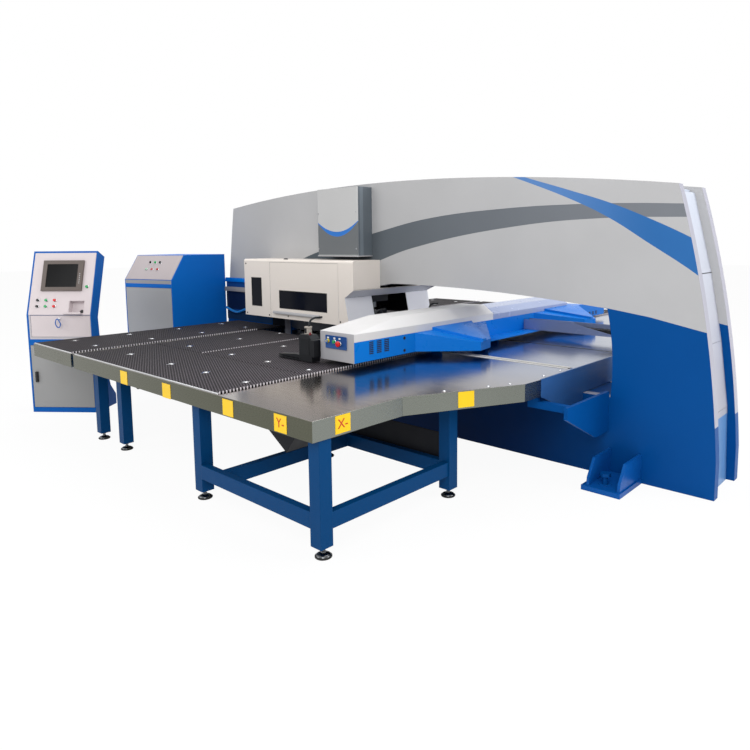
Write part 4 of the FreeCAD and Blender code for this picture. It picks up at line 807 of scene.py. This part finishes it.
def makeClamps():
    dx, y = clampDetails["cylinder"]
    radius = clampDetails["radius"]
    cylinder = turnPart([(radius, 1.0402), (radius, 1.046), (radius - 0.003, 1.048), (radius - 0.003, 1.086),
                         (radius, 1.088), (radius, 1.096), (radius - 0.004, 1.0985), (0.012, 1.0985),
                         (0.011, 1.095)], 28)
    centres = [clampDetails["first"] + clampDetails["pitch"] * i for i in range(3)]
    hang(copyTo(cylinder, [moved(cx + dx, y, 0) for cx in centres]), "clampCylinders", railBeige,
         "clamp_carriage")
    pipes = []
    for cx in centres:
        (x0, y0, z0), (x1, y1, z1), (x2, y2, z2) = clampDetails["pipe"]
        spots = ((x0, y0, z0), (x1, y1, z1 - 0.02), (x1 + 0.02, y1, z1), (x2, y2, z2))
        pipes.append(tubeAlong("clampPipe", [(cx + x, y, z) for x, y, z in spots],
                               clampDetails["pipeRadius"]))
    pipe = joinPieces(pipes)
    bpy.ops.object.shade_smooth_by_angle(angle=math.radians(40))
    hang(pipe, "clampPipes", blackenedSteel, "clamp_carriage")
    # unions at the pipe's foot and on the block's far shoulder
    union = turnPart([(0.011, 0), (0.011, 0.010), (0.009, 0.012), (0.009, 0.018), (0.007, 0.019)], 6, soft=20)
    fitting = paintedSteel("anodisedRed", "#6E1F22", rough=0.35)
    spots = [moved(cx + 0.030, -0.800, 1.0402) for cx in centres] + [moved(cx - 0.024, -0.865,
                                                                           1.0402) for cx in centres]
    hang(copyTo(union, spots), "clampUnions", fitting, "clamp_carriage")
    # face plate with a sunk field on each block's left cheek
    cheek = addBlock((-0.0445, -0.870, 0.880), (-0.0422, -0.770, 1.010))
    insetFaces(cheek, leftward, 0.012, (0.0012, 0, 0))
    hang(copyTo(roundEdges(cheek, 0.0006, 1), [moved(cx, 0, 0) for cx in centres]), "clampCheeks",
         blackenedSteel,
         "clamp_carriage")


makeClamps()
print("clamps: cylinders, pipes and unions")

tableDetails = {
    "mirror": 0.975, "balls": [(-2.310, y) for y in (1.85, 1.37, 0.64, -0.05, -0.56, -1.068)]
    + [(-1.757, y) for y in (1.85, 1.37, 0.64, -0.05, -0.56, -1.068)]
    + [(-1.200, y) for y in (1.85, 1.37, 0.66, -0.04)] + [(-0.700, 0.675), (-0.645, 1.86), (-0.645, 1.38)],
    "feet": [(-2.525, -2.087), (-2.514, -0.830), (-1.380, -2.085), (-1.380, -0.830), (-2.395, 0.630),
             (-2.392, 1.092),
             (-1.385, 1.092), (-0.900, 1.960)],
    "fringe": [((-2.600, -1.2055), (-0.486, -1.2055)), ((-2.600, 1.1265), (-0.670, 1.1265)),
               ((-1.876, 0.210), (-0.670, 0.210))], "fringePitch": 0.026,
    "studs": [(-1.620, -2.240), (-1.330, -2.380), (-1.180, -2.450), (-0.800, -2.490), (-0.560, -2.490)],
    "plates": [(-1.334, 0.748), (-0.568, 0.738), (0.091, 0.741)], "plateHalf": (0.058, 0.052),
    "slotStrips": [(-0.480, -0.457), (-0.433, -0.402)],
}


def bothSides(spots):  # the right half of the table mirrors the left one
    return spots + [(tableDetails["mirror"] - x, y) for x, y in spots]


def makeBalls():
    # star-shaped spring plate: every other corner of an eight-sided disc is drawn in
    startFresh()
    bpy.ops.mesh.primitive_circle_add(vertices=8, radius=0.042, fill_type="NGON", location=(0, 0, 0.8181))
    plate = bpy.context.object
    bpy.ops.object.transform_apply(location=True, rotation=True, scale=True)
    bpy.ops.object.mode_set(mode="EDIT")
    bpy.ops.mesh.select_mode(type="VERT")
    bpy.ops.mesh.select_all(action="DESELECT")
    mesh = bmesh.from_edit_mesh(plate.data)
    for i, vertex in enumerate(mesh.verts):
        vertex.select_set(i % 2 == 1)
    bmesh.update_edit_mesh(plate.data)
    bpy.ops.transform.resize(value=(0.42, 0.42, 1), center_override=(0, 0, 0.8181))
    bpy.ops.mesh.select_all(action="SELECT")
    bpy.ops.mesh.extrude_region_move(TRANSFORM_OT_translate={"value": (0, 0, 0.0012)})
    bpy.ops.mesh.select_all(action="SELECT")
    bpy.ops.mesh.normals_make_consistent(inside=False)
    leaveEdit()
    cup = turnPart([(0.017, 0.8192), (0.0165, 0.8212), (0.0145, 0.8218), (0.0125, 0.8205)], 20)
    ball = turnPart([(0.0118, 0.8200), (0.0105, 0.8218), (0.0082, 0.8230), (0.005, 0.8238), (0.0015, 0.8240)],
                    20, soft=60)
    piece = copyTo(joinPieces([plate, cup, ball]),
                   [moved(x, y, 0) for x, y in bothSides(tableDetails["balls"])])
    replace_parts(hang(piece, "ballTransfers", brightSteel), "ball_transfers")


def makeFeet():
    pad = turnPart([(0.047, 0), (0.050, 0.003), (0.050, 0.009), (0.047, 0.012)], 32)
    dish = turnPart([(0.045, 0.0121), (0.043, 0.016), (0.034, 0.022), (0.022, 0.026), (0.015, 0.029),
                     (0.013, 0.036),
                     (0.009, 0.037), (0.009, 0.0598)], 28, soft=50)
    nut = turnPart([(0.0155, 0.0450), (0.0155, 0.0570), (0.0135, 0.0585)], 6, soft=20)
    spots = [moved(x, y, 0) for x, y in bothSides(tableDetails["feet"])]
    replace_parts(hang(copyTo(pad, spots), "tableFootPads", rubber), "table_feet")
    footSteel = brushedSteel("steelFootChromed", "#5C5E60", rough=0.18, grain=(20.0, 20.0, 20.0))
    hang(copyTo(joinPieces([dish, nut]), spots), "tableFootScrews", footSteel)


def makeFringes():
    rows = []
    pitch = tableDetails["fringePitch"]
    for (x0, y0), (x1, y1) in tableDetails["fringe"]:
        for start in (x0, tableDetails["mirror"] - x1):
            # a tuft of five-sided bristles, widest where it leaves the board and trimmed flat
            tuft = turnPart([(0.0042, 0.8104), (0.0052, 0.8170), (0.0046, 0.8246), (0.0030, 0.8262)], 5,
                            soft=20)
            tuft.location = (start, y0, 0)
            choose(tuft)
            bpy.ops.object.transform_apply(location=True, rotation=True, scale=True)
            row = tuft.modifiers.new("row", "ARRAY")
            row.use_relative_offset, row.use_constant_offset = False, True
            row.constant_offset_displace, row.count = (pitch, 0, 0), int((x1 - x0) / pitch) + 1
            bpy.ops.object.modifier_apply(modifier=row.name)
            rows.append(tuft)
    hang(joinPieces(rows), "brushFringes", paleBristle)
    # bright edging along the outer edge of the boards
    edging = []
    for x in (-2.6165, tableDetails["mirror"] + 2.6115):
        for near, far in ((-1.21, 1.062), (1.126, 2.028)):
            strip = addBlock((x, near, 0.8101), (x + 0.005, far, 0.8195))
            taperFaces(strip, upward, (0.5, 1, 1), (x + 0.0025, 0.4, 0.8195))
            edging.append(strip)
    hang(roundEdges(joinPieces(edging), 0.0008, 1), "boardEdging", brightSteel)
    # domed screws along the near edges of the folded table
    stud = turnPart([(0.011, 0.8101), (0.011, 0.8120), (0.0085, 0.8150), (0.004, 0.8162)], 14, soft=50)
    hang(copyTo(stud, [moved(x, y, 0) for x, y in bothSides(tableDetails["studs"])]), "tableStuds",
         brightSteel)
    strips = []
    for x0, x1 in tableDetails["slotStrips"]:
        strip = addBlock((x0, -2.500, 0.8101), (x1, -1.300, 0.8135))
        insetFaces(strip, upward, 0.003, (0, 0, 0.001))
        strips.append(strip)
    hang(roundEdges(joinPieces(strips), 0.0006, 1), "slotBrushStrips", whiteBristle)


def makeSign(name, place, letters):
    # enamelled plate with rolled edges, standing on the skirt; letters are printed proud by half a millimetre
    wide, high = tableDetails["plateHalf"]
    plate = addBlock((-wide, -high, 0.0003), (wide, high, 0.0022))
    insetFaces(plate, upward, 0.004, (0, 0, -0.0004))
    hang(roundEdges(plate, 0.0008, 1), name, signYellow, "machine", place)
    if letters:
        startFresh()
        bpy.ops.object.text_add()
        words = bpy.context.object
        words.data.body, words.data.size, words.data.extrude = letters, 0.076, 0.0004
        words.data.align_x, words.data.align_y = "CENTER", "CENTER"
        words.data.offset = 0.0002
        bpy.ops.object.convert(target="MESH")
        hang(bpy.context.object, name + "Letters", signRed, "machine",
             place @ moved(0, 0, 0.0024))


def makeSigns():
    outLeft = Matrix(((0, 0, -1, 0), (-1, 0, 0, 0), (0, 1, 0, 0), (0, 0, 0, 1)))
    outNear = Matrix(((1, 0, 0, 0), (0, 0, -1, 0), (0, 1, 0, 0), (0, 0, 0, 1)))
    outRight = Matrix(((0, 0, 1, 0), (1, 0, 0, 0), (0, 1, 0, 0), (0, 0, 0, 1)))
    for i, (y, z) in enumerate(tableDetails["plates"]):
        makeSign("leftPlate%d" % (i + 1), moved(-2.625, y, z) @ outLeft, "")
        makeSign("rightPlate%d" % (i + 1), moved(3.600, y, z) @ outRight, "")
    makeSign("plateYMinusLeft", moved(-2.625, -1.860, 0.748) @ outLeft, "Y-")
    makeSign("plateYMinusRight", moved(3.600, -1.860, 0.748) @ outRight, "Y-")
    makeSign("plateXMinus", moved(-2.404, -2.1355, 0.752) @ outNear, "X-")
    makeSign("plateXPlus", moved(3.379, -2.1355, 0.752) @ outNear, "X+")
    slope = math.atan2(-0.388, 0.794)
    makeSign("frontPlateLeft", moved(-1.514, -2.334, 0.752) @ Matrix.Rotation(slope, 4, "Z") @ outNear, "")
    makeSign("frontPlateRight", moved(2.489, -2.334, 0.752) @ Matrix.Rotation(-slope, 4, "Z") @ outNear, "")


makeBalls()
makeFeet()
makeFringes()
makeSigns()
print("table: ball transfers, feet, fringes and plates")

consoleDetails = {
    "screen": (0.182, 0.519, 0.293, 0.541), "pocket": (0.452, 0.618, 0.014, 0.150),
    "buttons": [("console_button_1", 0.111, 0.155, blackButton),
                ("console_button_2", 0.202, 0.155, greenButton),
                ("console_button_3", 0.294, 0.155, redButton),
                ("console_button_4", 0.111, 0.089, blackButton),
                ("console_button_5", 0.202, 0.089, greenButton),
                ("console_button_6", 0.294, 0.089, redButton),
                ("console_power_button", 0.627, 0.299, greenButton)],
    "latch": (0.059, 0.087, 0.326, 0.436), "lock": (0.358, 0.996),
}


def makeCollar(radius, bore):  # the bright ring round a button, lamp or selector
    return turnPart([(radius, 0.0001), (radius, 0.002), (radius - 0.002, 0.0042), (bore, 0.0042),
                     (bore, 0.001)])


def makePush(name, u, s, colour, unit, back):
    # bright collar on the panel, coloured cap on its own body
    face = unitFrame(unit) @ moved(u, back, s) @ faceNear
    collar = makeCollar(0.0185, 0.0148)
    hang(collar, name + "_collar", brightSteel, "machine", face)
    cap = turnPart([(0.0138, 0.0042), (0.0138, 0.0150), (0.0128, 0.0172), (0.0095, 0.0180), (0.0085, 0.0172)])
    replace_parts(hang(cap, name + "_cap", colour, name, face), name)


def makeConsole():
    frameHere = unitFrame("console")
    u0, u1, s0, s1 = consoleDetails["screen"]
    screen = addBlock((u0 + 0.0004, -0.0215, s0 + 0.0004), (u1 - 0.0004, -0.0182, s1 - 0.0004))
    insetFaces(screen, nearward, 0.010, (0, 0.0012, 0))
    hang(roundEdges(screen, 0.0008, 1), "consoleScreen", screenGlass, "machine", frameHere)
    key = roundEdges(addBlock((-0.005, -0.0012, -0.004), (0.005, 0, 0.004)), 0.0005, 1)
    hang(copyTo(key, [moved(0.545, -0.0261, 0.335 + 0.020 * i) for i in range(6)]), "consoleBezelKeys",
         greyPlastic,
         "machine", frameHere)
    for name, u, s, colour in consoleDetails["buttons"]:
        makePush(name, u, s, colour, "console", -0.006)
    u0, u1, s0, s1 = consoleDetails["pocket"]
    liner = addBlock((u0 + 0.0005, -0.0055, s0 + 0.0005), (u1 - 0.0005, 0.0595, s1 - 0.0005))
    editFaces(liner, nearward)
    bpy.ops.mesh.inset(thickness=0.003)
    bpy.ops.mesh.extrude_region_move(TRANSFORM_OT_translate={"value": (0, 0.060, 0)})
    leaveEdit()
    hang(liner, "consolePocketLiner", panelGrey, "machine", frameHere)
    socket = turnPart([(0.020, 0.0001), (0.020, 0.004), (0.017, 0.006), (0.011, 0.006), (0.010, 0.002)], 24)
    hang(socket, "consoleSocket", blackPlastic, "machine",
         frameHere @ moved(0.565, 0.0543, 0.045) @ faceNear)
    # shelf under the pocket gets a raised rim
    rim = addBlock((0.420, -0.0605, -0.0005), (0.618, -0.0565, 0.016))
    taperFaces(rim, upward, (0.99, 0.6, 1), (0.519, -0.0585, 0.016))
    hang(roundEdges(rim, 0.001, 1), "consoleShelfRim", panelGrey, "machine", frameHere)
    flat = unitFrame("console", tilted=False)
    makeLatch("consoleLatch", "console_door", flat, *consoleDetails["latch"])
    u, z = consoleDetails["lock"]
    lock = turnPart([(0.0125, 0.0081), (0.0125, 0.0095), (0.010, 0.0110), (0.004, 0.0110), (0.0035, 0.0095)],
                    20)
    hang(lock, "consoleLockFace", brightSteel, "console_flap", flat @ moved(u, 0, z) @ faceNear)
    blade = addBlock((-0.001, -0.028, -0.0035), (0.001, -0.0105, 0.0035))
    editFaces(blade, nearward)
    bpy.ops.mesh.extrude_region_move(TRANSFORM_OT_translate={"value": (0, -0.004, 0)})
    bpy.ops.transform.resize(value=(1.3, 1, 2.6), center_override=(0, -0.032, 0))
    bpy.ops.mesh.extrude_region_move(TRANSFORM_OT_translate={"value": (0, -0.012, 0)})
    leaveEdit()
    hang(roundEdges(blade, 0.0004, 1), "consoleKey", brightSteel, "console_flap",
         flat @ moved(u, 0, z))
    # woven strap looped through the key's head
    loop = [(0.000, -0.048, 0.002), (0.022, -0.046, -0.022), (0.028, -0.040, -0.058), (0.004, -0.036, -0.086),
            (-0.022, -0.040, -0.056), (-0.016, -0.046, -0.018)]
    strap = tubeAlong("consoleKeyStrap", loop, 0.005, closed=True)
    bpy.ops.object.shade_smooth_by_angle(angle=math.radians(60))
    hang(strap, "consoleKeyStrap", strapBlue, "console_flap", flat @ moved(u, 0, z))


def makeLatch(name, body, place, u0, u1, z0, z1):
    # recessed-paddle latch: rounded black housing with a proud paddle
    housing = addBlock((u0, -0.0185, z0), (u1, -0.0003, z1))
    editFaces(housing, nearward)
    bpy.ops.mesh.inset(thickness=0.005)
    bpy.ops.transform.translate(value=(0, 0.0006, 0))
    bpy.ops.mesh.inset(thickness=0.001)
    bpy.ops.mesh.extrude_region_move(TRANSFORM_OT_translate={"value": (0, -0.004, 0)})
    leaveEdit()
    hang(roundEdges(housing, 0.002, 2), name, blackPlastic, body, place)


cabinetDetails = {
    "lamps": [(0.284, 0.143, lampPale), (0.375, 0.143, lampRed), (0.466, 0.143, lampRed)],
    "start": (0.378, 0.239),
    "selectors": [(0.297, 0.239), (0.458, 0.239)], "latch": (0.705, 0.735, 0.636, 0.764),
    "casters": [(0.055, 0.060), (0.715, 0.060), (0.715, 0.790), (0.055, 0.790)],
}


def makeCabinet():
    frameHere = unitFrame("cabinet")
    collar = makeCollar(0.0175, 0.0142)
    hang(copyTo(collar, [moved(u, -0.004, s) @ faceNear for u, s, colour in cabinetDetails["lamps"]]),
         "cabinetLampCollars",
         brightSteel, "machine", frameHere)
    for i, (u, s, colour) in enumerate(cabinetDetails["lamps"]):
        lens = turnPart([(0.0140, 0.0042), (0.0140, 0.0110), (0.0125, 0.0140), (0.008, 0.0155),
                         (0.003, 0.0160)], soft=50)
        hang(lens, "cabinetLamp%d" % (i + 1), colour,
             "machine",
             frameHere @ moved(u, -0.004, s) @ faceNear)
    makePush("cabinet_start_button", *cabinetDetails["start"], greenButton, "cabinet", -0.004)
    for i, (u, s) in enumerate(cabinetDetails["selectors"]):
        name = "cabinet_selector_%d" % (i + 1)
        place = frameHere @ moved(u, -0.004, s) @ faceNear
        ring = makeCollar(0.0175, 0.0148)
        hang(ring, name + "_collar", brightSteel, "machine", place)
        knob = turnPart([(0.0138, 0.0015), (0.0138, 0.010), (0.0125, 0.0115)])
        grip = addBlock((-0.0042, -0.0135, 0.0110), (0.0042, 0.0135, 0.0228))
        taperFaces(grip, upward, (0.7, 0.92, 1), (0, 0, 0.0228))
        handle = joinPieces([knob, roundEdges(grip, 0.0008, 1)])
        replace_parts(hang(handle, name + "_handle", blackButton, name, place), name)
    flat = unitFrame("cabinet", tilted=False)
    makeLatch("cabinetLatch", "cabinet_door", flat, *cabinetDetails["latch"])
    wheel = turnPart([(0.012, -0.012), (0.030, -0.011), (0.0335, -0.008), (0.0335, 0.008), (0.030, 0.011),
                      (0.012, 0.012)], 28)
    fork = addBlock((-0.020, -0.022, 0.078), (0.020, 0.022, 0.0905))
    editFaces(fork, upward)
    bpy.ops.mesh.extrude_region_move(TRANSFORM_OT_translate={"value": (0, 0, 0.004)})
    bpy.ops.transform.resize(value=(1.5, 1.5, 1), center_override=(0, 0, 0.0945))
    bpy.ops.mesh.extrude_region_move(TRANSFORM_OT_translate={"value": (0, 0, 0.005)})
    leaveEdit()
    cheeks = []
    for side in (-1, 1):
        y0, y1 = sorted((side * 0.0145, side * 0.0175))
        cheek = addBlock((-0.016, y0, 0.024), (0.016, y1, 0.079))
        taperFaces(cheek, downward, (0.55, 1, 1), (0, (y0 + y1) / 2, 0.024))
        cheeks.append(cheek)
    axleHeight = moved(0, 0, 0.0335) @ Matrix.Rotation(math.radians(90), 4, "X")
    wheel = copyTo(wheel, [axleHeight])
    spots = [flat @ moved(u, v, 0) for u, v in cabinetDetails["casters"]]
    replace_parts(hang(copyTo(wheel, spots), "casterWheels", rubber), "cabinet_feet")
    hang(copyTo(roundEdges(joinPieces([fork] + cheeks), 0.001, 1), spots), "casterForks", blackenedSteel)


makeConsole()
makeCabinet()
print("console and cabinet: screen, buttons, lamps, locks and casters")

troughDetails = {"near": 1.374, "far": 2.296, "face": -0.286, "rail": (1.172, 1.226), "well": (0.950, 1.172),
                 "hose": 0.962, "hoseRadius": 0.015, "sag": 0.045, "loops": 2, "ledge": (1.245, 1.285, 1.86)}


def makeTrough():
    # cable trough on the far column: blue back sheet, pale rail, dark well, hose hung in loops along its foot
    near, far, face = troughDetails["near"], troughDetails["far"], troughDetails["face"]
    sheets = (("troughBackSheet", 0.931, 1.340, plateBlue), ("troughFootSheet", 0.822, 0.930, slateBlue))
    for name, low, high, colour in sheets:
        sheet = addBlock((face + 0.0002, near, low), (face + 0.0028, far, high))
        insetFaces(sheet, leftward, 0.006, (0.0004, 0, 0))
        hang(roundEdges(sheet, 0.0006, 1), name, colour)
    # painted highlight: a lavender ledge under the shelf
    foot, top, end = troughDetails["ledge"]
    ledge = addBlock((face - 0.012, near, foot), (face - 0.0003, end, top))
    taperFaces(ledge, upward, (0.6, 1, 1), (face - 0.0003, 1.6, top))
    hang(roundEdges(ledge, 0.001, 1), "troughLedge", ledgeHighlight)
    foot, top = troughDetails["rail"]
    rail = addBlock((face - 0.030, near, foot), (face - 0.0003, far, top))
    insetFaces(rail, leftward, 0.006, (-0.002, 0, 0))
    hang(roundEdges(rail, 0.002, 2), "troughRail", railBeige)
    # painted shade: the dark well between the rail and the hose
    foot, top = troughDetails["well"]
    well = addBlock((face - 0.004, near, foot), (face - 0.0003, far, top - 0.0005))
    insetFaces(well, leftward, 0.012, (0.002, 0, 0))
    hang(well, "troughWell", troughWellShade)
    steps = troughDetails["loops"] * 2
    pitch = (far - near - 0.02) / steps
    drops = [troughDetails["sag"] if i % 2 else 0.0 for i in range(steps + 1)]
    hose = tubeAlong("troughHose", [(face - 0.0195, near + 0.01 + pitch * i, troughDetails["hose"] - drop)
                                    for i, drop in enumerate(drops)], troughDetails["hoseRadius"])
    bpy.ops.object.shade_smooth_by_angle(angle=math.radians(60))
    hang(hose, "troughHose", hosePlastic)
    shelf = addBlock((face - 0.022, near, 1.290), (face - 0.0003, far, 1.340))
    taperFaces(shelf, upward, (0.5, 1, 1), (face - 0.0003, (near + far) / 2, 1.340))
    hang(roundEdges(shelf, 0.002, 2), "troughShelf", beamBlue)


def makeFootHardware():
    # washers on the anchor bolts of the four feet
    washer = turnPart([(0.046, 0.0352), (0.046, 0.0395), (0.043, 0.0405), (0.024, 0.0405), (0.0225, 0.038)],
                      28)
    spots = [moved(x, y, 0) for x in (-0.554, 0.554) for y in (-2.853, 1.957)]
    hang(copyTo(washer, spots), "anchorWashers", footBlueLit)


makeTrough()
makeFootHardware()
print("far column trough and anchor washers")

studio = {"ambient": 0.62, "floorWhite": "#FBFBFB", "floorGlow": 0.94}


def onlySeen(tree):  # 1 for rays that show the background itself
    path = addNode(tree, "LightPath")
    seen = addNode(tree, "Math", {0: path["Is Camera Ray"], 1: path["Is Glossy Ray"]}, operation="MAXIMUM")[0]
    return addNode(tree, "Math", {0: seen, 1: path["Is Transmission Ray"]}, operation="MAXIMUM")[0]


def makeRoom():
    world = bpy.data.worlds.new("paleRoom")
    bpy.context.scene.world = world
    world.use_nodes = True
    tree = world.node_tree
    tree.nodes.clear()
    light = addNode(tree, "Background", {"Color": (1, 1, 1, 1), "Strength": studio["ambient"]})[0]
    white = addNode(tree, "Background", {"Color": (1, 1, 1, 1), "Strength": 1.0})[0]
    both = addNode(tree, "MixShader", {0: onlySeen(tree), 1: light, 2: white})[0]
    addNode(tree, "OutputWorld", {"Surface": both})
    startFresh()
    bpy.ops.mesh.primitive_plane_add(size=90, location=(0, 0, 0))
    floor = bpy.context.object
    floor.name = "floor"
    material = bpy.data.materials.new("paleFloor")
    material.use_nodes = True
    tree = material.node_tree
    tree.nodes.clear()
    matt = addNode(tree, "BsdfDiffuse", {"Color": paint(studio["floorWhite"])})[0]
    glow = addNode(tree, "Emission", {"Color": (1, 1, 1, 1), "Strength": 1.0})[0]
    share = addNode(tree, "Math", {0: onlySeen(tree), 1: studio["floorGlow"]}, operation="MULTIPLY")[0]
    both = addNode(tree, "MixShader", {0: share, 1: matt, 2: glow})[0]
    addNode(tree, "OutputMaterial", {"Surface": both})
    floor.data.materials.append(material)


def addLamp(name, place, aim, size, power):
    lamp = bpy.data.lights.new(name, "AREA")
    lamp.shape, lamp.size, lamp.energy = "SQUARE", size, power
    holder = bpy.data.objects.new(name, lamp)
    bpy.context.scene.collection.objects.link(holder)
    holder.location = place
    holder.rotation_euler = (Vector(aim) - Vector(place)).to_track_quat("-Z", "Y").to_euler()


def makeCamera():
    view = {"place": (-4.734, -4.680, 1.750), "yaw": 42.13, "pitch": 6.49, "roll": -0.46, "lens": 30.3,
            "shift": (-0.0333, -0.08)}
    camera = bpy.data.cameras.new("camera")
    camera.lens, camera.sensor_width = view["lens"], 36
    camera.shift_x, camera.shift_y = view["shift"]
    camera.clip_end = 200
    holder = bpy.data.objects.new("camera", camera)
    bpy.context.scene.collection.objects.link(holder)
    yaw, pitch, roll = (math.radians(view[k]) for k in ("yaw", "pitch", "roll"))
    ahead = Vector((math.cos(yaw) * math.cos(pitch), math.sin(yaw) * math.cos(pitch), -math.sin(pitch)))
    right = Vector((math.sin(yaw), -math.cos(yaw), 0))
    up = right.cross(ahead)
    right, up = (right * math.cos(roll) + up * math.sin(roll), up * math.cos(roll) - right * math.sin(roll))
    holder.matrix_world = Matrix((right, up, -ahead)).transposed().to_4x4()
    holder.matrix_world.translation = Vector(view["place"])
    bpy.context.scene.camera = holder


makeRoom()
addLamp("keyLamp", (-8.0, -6.5, 6.5), (0, -0.5, 1.0), 5.0, 420)
addLamp("fillLamp", (-9.0, 4.0, 4.5), (0, 0, 1.0), 4.0, 160)
addLamp("topLamp", (1.0, -0.5, 8.0), (0, -0.5, 0.5), 6.0, 320)
addLamp("endLamp", (3.0, -10.0, 4.5), (0, -1.0, 1.0), 4.0, 330)
makeCamera()
bpy.context.scene.view_settings.view_transform = "Standard"
print("room, lamps and camera ready")
